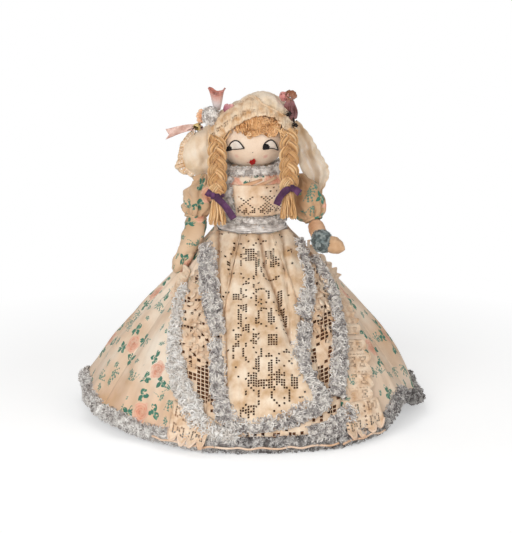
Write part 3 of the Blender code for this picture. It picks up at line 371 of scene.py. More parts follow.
def woolLoops(roots, normals, radius, thread, seed, stretch=1.25, steps=6, sides=3):
    # One small open loop of wool at each root, as points and faces
    source = np.random.default_rng(seed)
    count = len(roots)
    normals = normals / np.linalg.norm(normals, axis=1)[:, None]
    flow = np.stack([ripple(roots, 0.0075, seed + step) for step in range(3)], axis=1)
    wander = 1.6 * flow + 0.45 * source.normal(size=(count, 3))     # neighbours curl the same way
    aside = np.cross(normals, wander)
    aside /= np.linalg.norm(aside, axis=1)[:, None]
    lean = aside * source.uniform(-0.5, 0.5, count)[:, None]
    upright = normals + np.cross(normals, aside) * source.uniform(-0.6, 0.6, count)[:, None] + lean
    upright /= np.linalg.norm(upright, axis=1)[:, None]
    plane = np.cross(aside, upright)
    plane /= np.linalg.norm(plane, axis=1)[:, None]
    size = radius * source.uniform(0.65, 1.35, count)
    turn = np.linspace(-0.82 * pi, 0.82 * pi, steps)
    path = (roots[:, None, :]
            + upright[:, None, :] * (size[:, None] * stretch * (0.9 + np.cos(turn)))[:, :, None]
            + aside[:, None, :] * (size[:, None] * np.sin(turn))[:, :, None]
            + plane[:, None, :] * (size[:, None] * 0.5 * np.sin(turn / 2))[:, :, None])
    along = np.gradient(path, axis=1)
    along /= np.linalg.norm(along, axis=2)[:, :, None]
    flat = np.broadcast_to(plane[:, None, :], path.shape)
    level = np.cross(along, flat)
    level /= np.linalg.norm(level, axis=2)[:, :, None]
    ring = 2 * pi * np.arange(sides) / sides
    thick = thread * source.uniform(0.75, 1.3, count)
    points = (path[:, :, None, :]
              + flat[:, :, None, :] * (thick[:, None, None] * np.cos(ring))[:, :, :, None]
              + level[:, :, None, :] * (thick[:, None, None] * np.sin(ring))[:, :, :, None])
    pattern = gridFaces(steps, sides, 0, around=True)
    pattern.append(tuple(reversed(range(sides))))
    pattern.append(tuple((steps - 1) * sides + side for side in range(sides)))
    faces = [tuple(start + corner for corner in face)
             for start in range(0, count * steps * sides, steps * sides) for face in pattern]
    return points.reshape(-1, 3), faces


def makeFur(name, rings, material, body, replaces, seed, spacing=0.0021, radius=None, thread=None,
            closed=False, skipSides=()):
    # rings: the core's rings, from which the loops stand out
    radius = radius or furLook["loopRadius"]
    thread = thread or furLook["threadRadius"]
    source = np.random.default_rng(seed)
    rows, sides = rings.shape[:2]
    centre = rings.mean(axis=1, keepdims=True)
    core = centre + (rings - centre) * 0.9
    if closed:
        corePoints = core.reshape(-1, 3)
        coreFaces = gridFaces(rows, sides, 0, around=True)
        coreFaces += [((rows - 1) * sides + side, (rows - 1) * sides + (side + 1) % sides,
                       (side + 1) % sides, side) for side in range(sides)]
    else:
        corePoints, coreFaces = ringsMesh(core)
    roots = []
    normals = []
    spans = rows if closed else rows - 1
    for row in range(spans):
        ahead = (row + 1) % rows
        for side in range(sides):
            if side in skipSides:
                continue
            beside = (side + 1) % sides
            corner = [rings[row, side], rings[row, beside], rings[ahead, side], rings[ahead, beside]]
            across = (np.linalg.norm(corner[1] - corner[0]) + np.linalg.norm(corner[3] - corner[2])) / 2
            along = (np.linalg.norm(corner[2] - corner[0]) + np.linalg.norm(corner[3] - corner[1])) / 2
            wanted = across * along / spacing ** 2
            number = int(wanted) + (source.random() < wanted % 1)
            if not number:
                continue
            first = source.random(number)[:, None]
            second = source.random(number)[:, None]
            place = (corner[0] * (1 - first) * (1 - second) + corner[1] * first * (1 - second)
                     + corner[2] * (1 - first) * second + corner[3] * first * second)
            middle = (centre[row, 0] + centre[ahead, 0]) / 2
            roots.append(place - (place - middle) * 0.22)
            normals.append(place - (centre[row, 0] * (1 - second) + centre[ahead, 0] * second))
    loopPoints, loopFaces = woolLoops(np.concatenate(roots), np.concatenate(normals), radius, thread,
                                      seed + 1)
    count = len(corePoints)
    faces = coreFaces + [tuple(corner + count for corner in face) for face in loopFaces]
    return makePiece(name, np.concatenate([corePoints, loopPoints]), faces, material, body,
                     replaces=replaces, tidy=False)


# skirt: the same eight gores as the solids, as one formula

skirt = {
    "waistHeight": 0.178, "gores": 8, "frontTurn": 6.0, "hingeRadius": 0.033,
    "edgeAngle": 52.0, "hemEdgeAngle": 55.0, "bulgeAngle": 5.0, "bulgePower": 0.8, "hemRoundAngle": 1.7,
    "foldDepth": 0.0035, "apronFoldDepth": 0.0012, "goreFolds": (3, 2, 2, 2, 2, 2, 2, 2),
    "hemLifts": (0.0006, 0.0006, 0.0025, 0.005, 0.005, 0.005, 0.012, 0.0025),
    "hemHalfHeight": 0.005, "hemHalfDepth": 0.004, "hemFurStart": -0.0036, "hemFurHalf": 0.0066,
    "names": ("front", "front_right", "right", "back_right", "back", "back_left", "left", "front_left"),
    "hemRise": (0.088, 66.0, 12.0),     # how much the right hem is drawn up, where, how wide in degrees
    "flare": (0.008, -88.0, 30.0),     # how far the left hem stands out
    # long folds: gore, across, half width, slope shares where each starts and ends, depth
    "drapes": ((6, 0.52, 0.13, 0.1, 0.62, 0.0042), (6, 0.05, 0.16, 0.15, 0.8, 0.0026),
               (7, -0.78, 0.1, 0.1, 0.5, 0.003),
               (1, 0.72, 0.12, 0.25, 0.95, 0.0044), (1, 0.95, 0.1, 0.3, 0.9, 0.003),
               (2, -0.45, 0.16, 0.12, 0.8, 0.0038),
               (2, 0.2, 0.2, 0.1, 0.7, 0.003), (5, 0.4, 0.2, 0.1, 0.8, 0.003),
               (4, -0.3, 0.2, 0.1, 0.8, 0.003),
               (3, 0.3, 0.2, 0.1, 0.8, 0.003)),
    "rows": 72, "columns": 56,
    "clothThickness": 0.00045, "liningDrop": 0.0014, "flapAcross": (1.02, 1.045), "flapDrop": 0.0009,
    "printAround": 0.15,   # hem radius that sets the print's scale round the skirt
}


def goreTurn(gore):
    return radians(skirt["frontTurn"] + 360 * gore / skirt["gores"])


def edgeAngle(share):
    return skirt["edgeAngle"] + (skirt["hemEdgeAngle"] - skirt["edgeAngle"]) * share ** 3


def goreAngle(share, across):
    share = np.clip(share, 0, 1)
    bulge = skirt["bulgeAngle"] * np.sin(pi * share) ** skirt["bulgePower"] + skirt["hemRoundAngle"] * share ** 2
    return np.radians(edgeAngle(share) - bulge * (1 - across ** 2))


def slopeLength(gore, across):
    lifts = skirt["hemLifts"]
    own = lifts[gore]
    beside = np.where(across > 0, lifts[(gore + 1) % 8], lifts[(gore - 1) % 8])
    lift = own + ((own + beside) / 2 - own) * np.abs(across)
    hemAngle = radians(skirt["hemEdgeAngle"])
    drop = skirt["waistHeight"] - lift - 2 * skirt["hemHalfHeight"] * sin(hemAngle) - skirt["hemHalfDepth"] / 2
    return drop / np.sin(goreAngle(1, across))


def clothRelief(gore, share, across):
    # The solids' folds, with gathers under the waist and creases below, still at the seams
    depth = skirt["apronFoldDepth"] if gore == 0 else skirt["foldDepth"]
    fold = depth * share * (1 - np.cos(pi * skirt["goreFolds"][gore] * (across + 1))) / 2
    still = np.clip(1 - across ** 4, 0, 1)
    gathers = 0.0008 * np.sin(pi * 8 * (across + 1)) * np.exp(-((share - 0.09) / 0.1) ** 2)
    spots = np.stack(np.broadcast_arrays(across * (0.3 + share) * 0.07, share * 0.06), axis=-1)
    crease = 0.0009 * np.clip(share * 1.5, 0, 1) * ripple(spots, 0.022, 40 + gore)
    fine = 0.0004 * ripple(spots, 0.009, 60 + gore) * np.clip(1.2 - share, 0, 1)
    for place, middle, half, start, end, deep in skirt["drapes"]:
        if place == gore:
            along = np.clip((share - start) / 0.12, 0, 1) * np.clip((end - share) / 0.25, 0, 1)
            fold = fold - deep * along * np.exp(-((across - middle) / half) ** 2) * still
    return fold + (gathers + crease + fine) * still


def halfWidth(share, slope):
    run = skirt["hingeRadius"] + np.maximum(slope, 0) * np.cos(np.radians(edgeAngle(np.clip(share, 0, 1))))
    return run * np.tan(pi / skirt["gores"])


def gorePoint(gore, share, across, lift=0.0, past=0.0, relief=True):
    share, across, lift, past = np.broadcast_arrays(*(np.asarray(value, dtype=float)
                                                      for value in (share, across, lift, past)))
    slope = slopeLength(gore, across) * share + past
    angle = goreAngle(share, across)
    height = lift + (clothRelief(gore, np.clip(share, 0, 1), np.clip(across, -1, 1)) if relief else 0)
    radial = skirt["hingeRadius"] + slope * np.cos(angle) + height * np.sin(angle)
    rise = skirt["waistHeight"] - slope * np.sin(angle) + height * np.cos(angle)
    sideways = across * halfWidth(share, slope)
    turn = goreTurn(gore)
    spot = np.stack([radial * sin(turn) + sideways * cos(turn),
                     -radial * cos(turn) + sideways * sin(turn), rise], axis=-1)
    most, middle, half = skirt["flare"]
    amount = most * np.exp(-((azimuth(spot) - middle) / half) ** 2) * np.clip((share - 0.55) / 0.45, 0, 1) ** 2
    outward = spot * np.array((1, 1, 0))
    outward = outward / np.maximum(np.linalg.norm(outward, axis=-1, keepdims=True), 1e-6)
    return spot + outward * amount[..., None] + np.array((0, 0, 0.45)) * amount[..., None]


def hemEnd(gore, across):
    # Share of the slope at which the cloth ends there
    most, middle, half = skirt["hemRise"]
    turn = degrees(goreTurn(gore)) + 22.5 * np.asarray(across)
    away = (turn - middle + 180) % 360 - 180
    return 1 - most * np.exp(-(away / half) ** 2)


def flatSpot(gore, share, across):
    # Place on the flat cloth before it was gathered, in metres
    slope = slopeLength(gore, across) * share
    turn = goreTurn(gore) + across * pi / skirt["gores"]
    return np.stack(np.broadcast_arrays(turn * skirt["printAround"], slope), axis=-1)


def acrossAt(gore, share, x):
    # Where a gore's cloth passes a given x, by closing in on it
    turn = goreTurn(gore)
    across = np.zeros(np.broadcast(share, x).shape)
    for _ in range(8):
        slope = slopeLength(gore, across) * share
        radial = skirt["hingeRadius"] + slope * np.cos(goreAngle(share, across))
        across = (x - radial * sin(turn)) / cos(turn) / halfWidth(share, slope)
        across = np.clip(across, -1.6, 1.6)
    return across


def azimuth(points):
    return np.degrees(np.arctan2(points[..., 0], -points[..., 1]))


def makeSkirtCloth(printed, lining):
    rows, columns = skirt["rows"], skirt["columns"]
    share = np.linspace(0, 1, rows) ** 0.9
    own = np.linspace(-1, 1, columns)
    across = np.concatenate([own, skirt["flapAcross"]])
    shares, acrosses = np.meshgrid(share, across, indexing="ij")
    tuck = np.where(acrosses > 1.001, -skirt["flapDrop"], 0.0)
    thick = skirt["clothThickness"]
    for gore, name in enumerate(skirt["names"]):
        kept = shares * hemEnd(gore, acrosses)
        outer = gorePoint(gore, kept, acrosses, 0.0007 + tuck)
        inner = gorePoint(gore, kept, acrosses, 0.0007 - thick + tuck)
        points, faces = slabMesh(outer, inner)
        spots = flatSpot(gore, kept, acrosses).reshape(-1, 2)
        cloth = makePiece(name + "_gore_cloth", points, faces, printed, name + "_skirt",
                          flat=np.concatenate([spots, spots]), replaces=(name + "_gore",))
        ownShares, ownAcrosses = np.meshgrid(share, own, indexing="ij")
        kept = ownShares * hemEnd(gore, ownAcrosses)
        outer = gorePoint(gore, kept, ownAcrosses * 0.998, -skirt["liningDrop"])
        inner = gorePoint(gore, kept, ownAcrosses * 0.998, -skirt["liningDrop"] - thick)
        points, faces = slabMesh(outer, inner)
        inside = makePiece(name + "_gore_lining", points, faces, lining, name + "_skirt",
                           replaces=(name + "_gore",))
    print("skirt cloth and lining made")


def makeHemFur(material, paleMaterial):
    for gore, name in enumerate(skirt["names"]):
        across = np.linspace(-0.985, 0.985, 40)
        sides = 10
        rings = []
        for side in range(sides):
            turn = 2 * pi * side / sides
            past = skirt["hemFurStart"] + skirt["hemFurHalf"] * (1 + np.cos(turn))
            swell = 1.05 + 0.32 * ripple(np.stack([across * 0.06, across * 0 + gore], axis=-1), 0.016,
                                         90 + gore)
            rings.append(gorePoint(gore, hemEnd(gore, across), across,
                                   skirt["hemHalfDepth"] * np.sin(turn) * swell, past))
        makeFur(name + "_hem_wool", np.stack(rings, axis=1), paleMaterial if gore in (5, 6, 7) else material,
                name + "_skirt",
                (name + "_hem_fur",), 100 + gore, spacing=0.002, radius=0.0015, thread=0.00036)
    print("hem fur made")


# routes over the skirt: share of the slope, turn from the front in degrees, half width there
routes = {
    "apronLeft": ((0.083, -64.4, 0.005), (0.126, -54.0, 0.0072), (0.174, -44.4, 0.0088),
                  (0.264, -33.4, 0.0096),
                  (0.363, -25.2, 0.0088), (0.457, -19.9, 0.0072), (0.552, -15.9, 0.006),
                  (0.658, -13.6, 0.0062),
                  (0.76, -12.0, 0.0066), (0.835, -10.6, 0.0074), (0.902, -8.6, 0.0086)),
    "apronHem": ((0.902, -8.6, 0.0086), (0.935, -5.9, 0.0062), (0.946, -0.6, 0.0062), (0.936, 4.7, 0.0076),
                 (0.922, 11.0, 0.008), (0.893, 17.0, 0.01), (0.862, 22.0, 0.0112), (0.84, 25.5, 0.0104)),
    "apronRight": ((0.84, 25.5, 0.0104), (0.792, 23.4, 0.0096), (0.745, 21.8, 0.0078), (0.67, 20.6, 0.0078),
                   (0.595, 21.9, 0.0084), (0.481, 26.5, 0.009), (0.394, 32.5, 0.0084), (0.323, 39.5, 0.0068),
                   (0.221, 49.0, 0.0058), (0.146, 57.4, 0.0054), (0.067, 69.3, 0.0044)),
    "outerLeft": ((0.33, -51.0, 0.0034), (0.402, -48.0, 0.0038), (0.504, -41.5, 0.0044),
                  (0.603, -37.0, 0.0056),
                  (0.701, -31.4, 0.0078), (0.792, -26.6, 0.0094), (0.871, -21.8, 0.01), (0.94, -18.0, 0.01)),
    "outerRight": ((0.174, 73.0, 0.0038), (0.256, 68.5, 0.0048), (0.371, 59.4, 0.005), (0.473, 51.0, 0.0048),
                   (0.587, 43.0, 0.0062), (0.678, 38.0, 0.0082), (0.764, 34.7, 0.0084),
                   (0.835, 32.6, 0.0068)),
    "petticoatLeft": ((0.94, -16.0, 0.009), (0.975, -12.0, 0.0078), (0.99, -5.0, 0.006)),
    "petticoatRight": ((0.99, 19.0, 0.006), (0.975, 26.0, 0.0076), (0.945, 31.0, 0.0082),
                       (0.915, 36.0, 0.0074)),
}


def routeStops(route):
    return curve(routes[route], 10)


def goreOfTurn(turn):
    return int(np.round((turn - skirt["frontTurn"]) / 45)) % 8


def acrossOfTurn(gore, share, turn):
    # Across value on a gore for a turn from the front
    away = np.radians((turn - degrees(goreTurn(gore)) + 180) % 360 - 180)
    slope = slopeLength(gore, 0.0) * share
    radial = skirt["hingeRadius"] + slope * np.cos(goreAngle(share, 0.0))
    return radial * np.tan(away) / halfWidth(share, slope)


def routePieces(route):
    # The route cut at the seams: gore, then its shares, across values and half widths
    stops = routeStops(route)
    turns = stops[:, 1]
    ready = {}
    for gore in sorted({goreOfTurn(turn) for turn in turns}):
        across = acrossOfTurn(gore, stops[:, 0], turns)
        kept = np.abs(across) < 1.05
        if kept.sum() > 2:
            ready[gore] = np.stack([stops[:, 0], across, stops[:, 2]], axis=-1)[kept]
    return ready


trims = {
    "depthShare": 0.2, "leastDepth": 0.0018, "lift": 0.0012, "sides": 10, "crowd": 0.0018,
    "loopReach": 0.0012,
    # piece name: gore, routes, replaced nodes, whether the wool is the paler one
    "pieces": {
        "front_apron_wool": (0, ("apronLeft", "apronHem", "apronRight"), ("apron_fur_trim",), False),
        "left_apron_wool": (7, ("apronLeft",), ("left_apron_trim",), False),
        "right_apron_wool": (1, ("apronRight",), ("right_apron_trim",), False),
        "left_panel_wool": (7, ("outerLeft",), ("left_panel_trim",), True),
        "right_panel_wool": (1, ("outerRight",), ("right_panel_trim",), False),
        "front_petticoat_wool_left": (0, ("petticoatLeft",), (), True),
        "front_petticoat_wool_right": (0, ("petticoatRight",), (), False),
        "right_petticoat_wool": (1, ("petticoatRight",), (), False),
    },
}


def trimRings(gore, stretch, lift, seed):
    path = gorePoint(gore, stretch[:, 0], stretch[:, 1], lift)
    wide = (stretch[:, 2] - trims["loopReach"]) * (0.92 + 0.16 * ripple(path, 0.009, seed))
    deep = trims["leastDepth"] + trims["depthShare"] * wide * (1 + 0.5 * ripple(path, 0.006, seed + 1))
    path = gorePoint(gore, stretch[:, 0], stretch[:, 1], lift + deep)
    above = gorePoint(gore, stretch[:, 0], stretch[:, 1], lift + deep + 0.002)
    return tubeRings(path, above - path, wide, deep, trims["sides"])


def keepAbove(item, gore, least):
    # Push what lies under a gore's cloth out of it
    share, across = np.meshgrid(np.linspace(0, 1, 100), np.linspace(-1.1, 1.1, 70), indexing="ij")
    grid = gorePoint(gore, share, across, 0.0007).reshape(-1, 3)
    tree = BVHTree.FromPolygons([Vector(point) for point in grid], gridFaces(100, 70))
    for vertex in item.data.vertices:
        near, normal, _, _ = tree.find_nearest(vertex.co, 0.008)
        if near is None:
            continue
        normal = normal if normal.z > 0 else -normal
        gap = (vertex.co - near).dot(normal)
        if gap < least:
            vertex.co += normal * (least - gap)


def makeTrims(material, paleMaterial):
    for number, (name, row) in enumerate(trims["pieces"].items()):
        gore, names, nodes, pale = row
        stretch = np.concatenate([routePieces(route)[gore] for route in names])
        rings = trimRings(gore, stretch, trims["lift"], 20 + number)
        wool = makeFur(name, rings, paleMaterial if pale else material, skirt["names"][gore] + "_skirt",
                       nodes,
                       200 + number, spacing=trims["crowd"], radius=0.0019, thread=0.00046,
                       skipSides=(6, 7, 8))
        keepAbove(wool, gore, 0.0003)
    print("fur trims made")


# lace net of the apron and the side panels, as real open cells

net = {
    "pitch": 0.00235, "thread": 0.00035, "openInset": 0.22, "lift": 0.0014,
    "apronLeft": -0.047, "apronRight": 0.062, "foldHeight": 0.0062,
    "waistRow": 234.6, "rowsPerSlope": 194.5,   # picture rows of the waist and of the whole front slope
    "panelPitch": 0.0036, "panelInset": 0.2,
    # fold lines of the apron as picture places, with depth and half width in pixels
    "folds": ((1.0, 2.6, ((220, 240), (223, 300), (227, 340), (229, 410))),
              (0.8, 2.0, ((241, 236), (233, 262), (229, 290), (229, 330))),
              (0.55, 2.2, ((241, 236), (242, 300), (243, 360), (243, 415))),
              (0.45, 2.0, ((256, 240), (256, 330), (257, 410))),
              (1.0, 2.7, ((259, 236), (265, 270), (275, 298), (283, 325), (290, 350))),
              (0.85, 1.9, ((279, 236), (282, 260), (287, 300), (288, 345))),
              (0.5, 1.8, ((268, 236), (271, 262), (279, 300)))),
    # crowded holes of the filet lace: middle, half width and half height, as picture places
    "clusters": ((251, 255, 6, 6), (257, 262, 2, 12), (243.7, 308, 4.5, 4), (239.5, 319, 2.5, 9),
                 (245, 328, 4, 4),
                 (256.4, 339, 3, 6), (272.5, 339, 4, 6), (236.5, 341, 3, 7), (262, 383, 15, 4.5),
                 (253, 376, 5, 4),
                 (279, 377, 6, 6), (294, 383, 3.4, 6), (247, 411, 7.5, 4), (281, 303, 2.6, 12),
                 (284, 318, 2.2, 9),
                 (266, 356, 6, 2), (256.5, 322, 1.3, 4), (270, 318, 1.6, 5), (236, 297, 3.5, 4),
                 (269, 254, 4.5, 4),
                 (274, 262, 4, 5), (228, 268, 2.4, 6), (233, 352, 2, 6), (257, 364, 2.2, 7),
                 (271, 368, 2.2, 8)),
    "rings": ((249, 268, 9.5), (248, 290, 7), (266, 317, 8), (271, 270, 9), (284, 361, 8.5), (252, 352, 9),
              (252, 398, 8), (281, 395, 9), (262, 296, 7), (240, 250, 5)),
    "mesh": ((206, 383, 11, 21), (325, 322, 7, 18), (322, 375, 5, 12)),
}


def apronFold(x, share):
    # Soft pipes that hang from the gathered waist, cut by the drawn fold lines
    row = net["waistRow"] + net["rowsPerSlope"] * share
    column = camera["axisPixel"][0] + x / camera["metresPerPixel"]
    valley = 0.0
    for depth, half, line in net["folds"]:
        stops = np.array(line, dtype=float)
        middle = np.interp(row, stops[:, 1], stops[:, 0])
        ends = np.clip((stops[-1, 1] + 14 - row) / 20, 0, 1)
        valley = np.maximum(valley, depth * ends * np.exp(-((column - middle) / half) ** 2))
    swell = 0.86 + 0.14 * np.sin(x / 0.004 + 2 * share)
    return net["foldHeight"] * (0.35 + 0.65 * np.clip(share * 5, 0, 1)) * (1 - valley) * swell


def apronOpen(spot, dice):
    # Whether the net is left open there: crowded clusters, rings and a few strays
    column, row = seenPixel(spot)
    for middle, height, wide, high in net["clusters"]:
        if abs(column - middle) < wide and abs(row - height) < high:
            return dice < 0.86
    for middle, height, reach in net["rings"]:
        if abs(sqrt((column - middle) ** 2 + (row - height) ** 2 * 0.8) - reach) < 1.15:
            return dice < 0.72
    return dice < 0.045


def panelOpen(spot, dice):
    # Open square mesh in places, small gaps elsewhere
    column, row = seenPixel(spot)
    for middle, height, wide, high in net["mesh"]:
        if ((column - middle) / wide) ** 2 + ((row - height) / high) ** 2 < 1:
            return True
    return dice < 0.34


def foldShadedLace(name, base, shade, pale, valleyShade):
    # Lace thread with painted shade in the valleys of its folds
    material, tree, shader = startMaterial(name, 0.9, 0.12)
    spot = restSpot(tree)
    colour = rampTones(tree, noiseAt(tree, spot, 0.014, 3.0), [(0.3, shade), (0.5, base), (0.68, pale)])
    # Painted shade: the cloth map's first value is the fold height, and the low places take the dark valley tone
    height = addNode(tree, "SeparateXYZ", {0: clothSpot(tree)}).outputs[0]
    deep = rampValue(tree, height, 0.62, 0.18, 0.0, 0.85)
    colour = blendTones(tree, deep, colour, tone(valleyShade))
    tree.links.new(colour, shader.inputs["Base Color"])
    bumpInto(tree, shader, calc(tree, "ADD", calc(tree, "MULTIPLY", weaveHeight(tree, spot, 0.0005), 0.4),
                                noiseAt(tree, spot, 0.0012, 2.0)), 0.35)
    return material


def apronLimits(share):
    # Left and right turn of the apron's edges at a slope share
    left = np.array(routes["apronLeft"])
    right = np.array(routes["apronRight"])[::-1]
    return np.interp(share, left[:, 0], left[:, 1]), np.interp(share, right[:, 0], right[:, 1])


def hemShare(turn):
    stops = np.array(routes["apronHem"])
    return np.interp(turn, stops[:, 1], stops[:, 0])


def outerLimits(share):
    left = np.array(routes["outerLeft"])
    right = np.array(routes["outerRight"])
    return np.interp(share, left[:, 0], left[:, 1]), np.interp(share, right[:, 0], right[:, 1])


def netCells(xs, ys, inside, opened, inset, liftAt, seed=1):
    # Cells of a hand-darned net, by gore: corner points, then a filled or an open face
    made = {gore: ([], [], []) for gore in (0, 1, 7)}
    source = np.random.default_rng(seed)
    for gore in (7, 0, 1):
        length = float(slopeLength(gore, 0.0))
        share = ys / length
        grid = np.meshgrid(share, xs, indexing="ij")
        lifted = liftAt(grid[1], grid[0])
        room = halfWidth(grid[0], length * grid[0]) / (np.sin(goreAngle(grid[0], 1.0)) * np.tan(pi / 8))
        limit = 1 + lifted / room     # where the lifted cloth meets its neighbour's
        across = np.clip(acrossAt(gore, grid[0], grid[1]), -limit, limit)
        corners = gorePoint(gore, grid[0], across, lifted)
        points, faces, heights = made[gore]
        for row in range(len(ys) - 1):
            for column in range(len(xs) - 1):
                if abs(across[row, column + 1] - across[row, column]) < 0.012:
                    continue
                corner = np.array([corners[row, column], corners[row, column + 1],
                                   corners[row + 1, column + 1], corners[row + 1, column]])
                middle = corner.mean(axis=0)
                turn = float(azimuth(middle))
                if not inside((share[row] + share[row + 1]) / 2, turn):
                    continue
                start = len(points)
                points.extend(corner)
                height = [lifted[row, column], lifted[row, column + 1], lifted[row + 1, column + 1],
                          lifted[row + 1, column]]
                heights.extend(height)
                if opened(middle, source.random()):
                    points.extend(middle + (corner - middle) * (1 - inset))
                    heights.extend(height)
                    for side in range(4):
                        ahead = (side + 1) % 4
                        faces.append((start + side, start + ahead, start + 4 + ahead, start + 4 + side))
                else:
                    faces.append((start, start + 1, start + 2, start + 3))
    return made


def inApron(share, turn):
    left, right = apronLimits(share)
    return left + 1.9 < turn < right - 1.9 and share < hemShare(turn)


def inPanels(share, turn):
    left, right = apronLimits(share)
    outerLeft, outerRight = outerLimits(share)
    if share < 0.2 or share > 0.985:
        return False
    if -20 < turn < 33 and share > hemShare(turn):
        return True
    return outerLeft < turn < left or right < turn < outerRight


def netPiece(name, gore, cells, material, thick):
    points, faces, heights = cells
    # The cloth map's first value is the fold height, which the apron lace uses for its painted shade in the valleys
    flat = np.stack([np.array(heights) / net["foldHeight"], np.zeros(len(heights))], axis=-1)
    item = makePiece(name, np.array(points), faces, material, skirt["names"][gore] + "_skirt",
                     flat=flat,
                     tidy=False)
    work = bmesh.new()
    work.from_mesh(item.data)
    bmesh.ops.remove_doubles(work, verts=work.verts, dist=0.00012)
    work.to_mesh(item.data)
    work.free()
    body = item.modifiers.new("thickness", "SOLIDIFY")
    body.thickness = thick
    body.offset = 0
    return item


def makeLaceNets(apronLace, lace, shadeBacking):
    pitch = net["pitch"]
    xs = np.arange(net["apronLeft"], net["apronRight"], pitch)
    ys = np.arange(0.0012, 0.2, pitch)
    cells = netCells(xs, ys, inApron, apronOpen, net["openInset"],
                     lambda x, share: net["lift"] + apronFold(x, share), 7)
    for gore, made in cells.items():
        netPiece(skirt["names"][gore] + "_apron_net", gore, made, apronLace, net["thread"])
    pitch = net["panelPitch"]
    xs = np.arange(-0.125, 0.135, pitch)
    ys = np.arange(0.04, 0.21, pitch)
    cells = netCells(xs, ys, inPanels, panelOpen, net["panelInset"],
                     lambda x, share: 0.0014 + 0.0007 * (1 + np.sin(x / 0.003 + share * 30)))
    for gore, made in cells.items():
        netPiece(skirt["names"][gore] + "_panel_net", gore, made, lace, net["thread"] * 1.6)
    # dark sheet under the nets: painted shade seen through their open cells
    xs = np.arange(-0.125, 0.135, 0.0042)
    ys = np.arange(0.0012, 0.21, 0.0042)
    cells = netCells(xs, ys, lambda share, turn: inApron(share, turn) or inPanels(share, turn),
                     lambda spot, dice: False, 0, lambda x, share: 0.0009 + 0 * x)
    for gore, made in cells.items():
        netPiece(skirt["names"][gore] + "_net_hole_shade", gore, made, shadeBacking, 0.0002)
    print("lace nets made")


# floor, backdrop and light

def makeStage():
    floor = bpy.data.meshes.new("floor")
    reach = 6.0
    floor.from_pydata([(-reach, -reach, 0), (reach, -reach, 0), (reach, reach, 0), (-reach, reach, 0)], [],
                      [(0, 1, 2, 3)])
    item = bpy.data.objects.new("floor", floor)
    bpy.context.scene.collection.objects.link(item)
    material = bpy.data.materials.new("pale_floor")
    material.use_nodes = True
    tree = material.node_tree
    tree.nodes.remove(tree.nodes["Principled BSDF"])
    diffuse = addNode(tree, "BsdfDiffuse", {"Color": (0.78, 0.78, 0.775, 1)})
    path = addNode(tree, "LightPath").outputs
    seen = calc(tree, "MAXIMUM", path["Is Camera Ray"],
                calc(tree, "MAXIMUM", path["Is Glossy Ray"], path["Is Transmission Ray"]))
    glow = addNode(tree, "Emission", {"Color": (1, 1, 1, 1),
                                      "Strength": calc(tree, "MULTIPLY", seen, light["floorGlow"])})
    both = addNode(tree, "AddShader", {0: diffuse.outputs[0], 1: glow.outputs[0]})
    far = addNode(tree, "Emission", {"Color": (1, 1, 1, 1), "Strength": rampValue(tree, seen, 0, 1, 0.45, 1.0)})
    reach = addNode(tree, "VectorMath", {0: restSpot(tree)}, operation="LENGTH").outputs["Value"]
    blend = addNode(tree, "MixShader", {0: rampValue(tree, reach, 0.27, 0.5), 1: both.outputs[0],
                                        2: far.outputs[0]})
    tree.links.new(blend.outputs[0], tree.nodes["Material Output"].inputs["Surface"])
    floor.materials.append(material)
    world = bpy.data.worlds.new("studio")
    bpy.context.scene.world = world
    world.use_nodes = True
    tree = world.node_tree
    path = addNode(tree, "LightPath").outputs
    seen = calc(tree, "MAXIMUM", path["Is Camera Ray"],
                calc(tree, "MAXIMUM", path["Is Glossy Ray"], path["Is Transmission Ray"]))
    strength = rampValue(tree, seen, 0, 1, light["ambient"], 1.0)
    background = tree.nodes["Background"]
    background.inputs["Color"].default_value = (1, 1, 1, 1)
    tree.links.new(strength, background.inputs["Strength"])


# cloth with a rose print

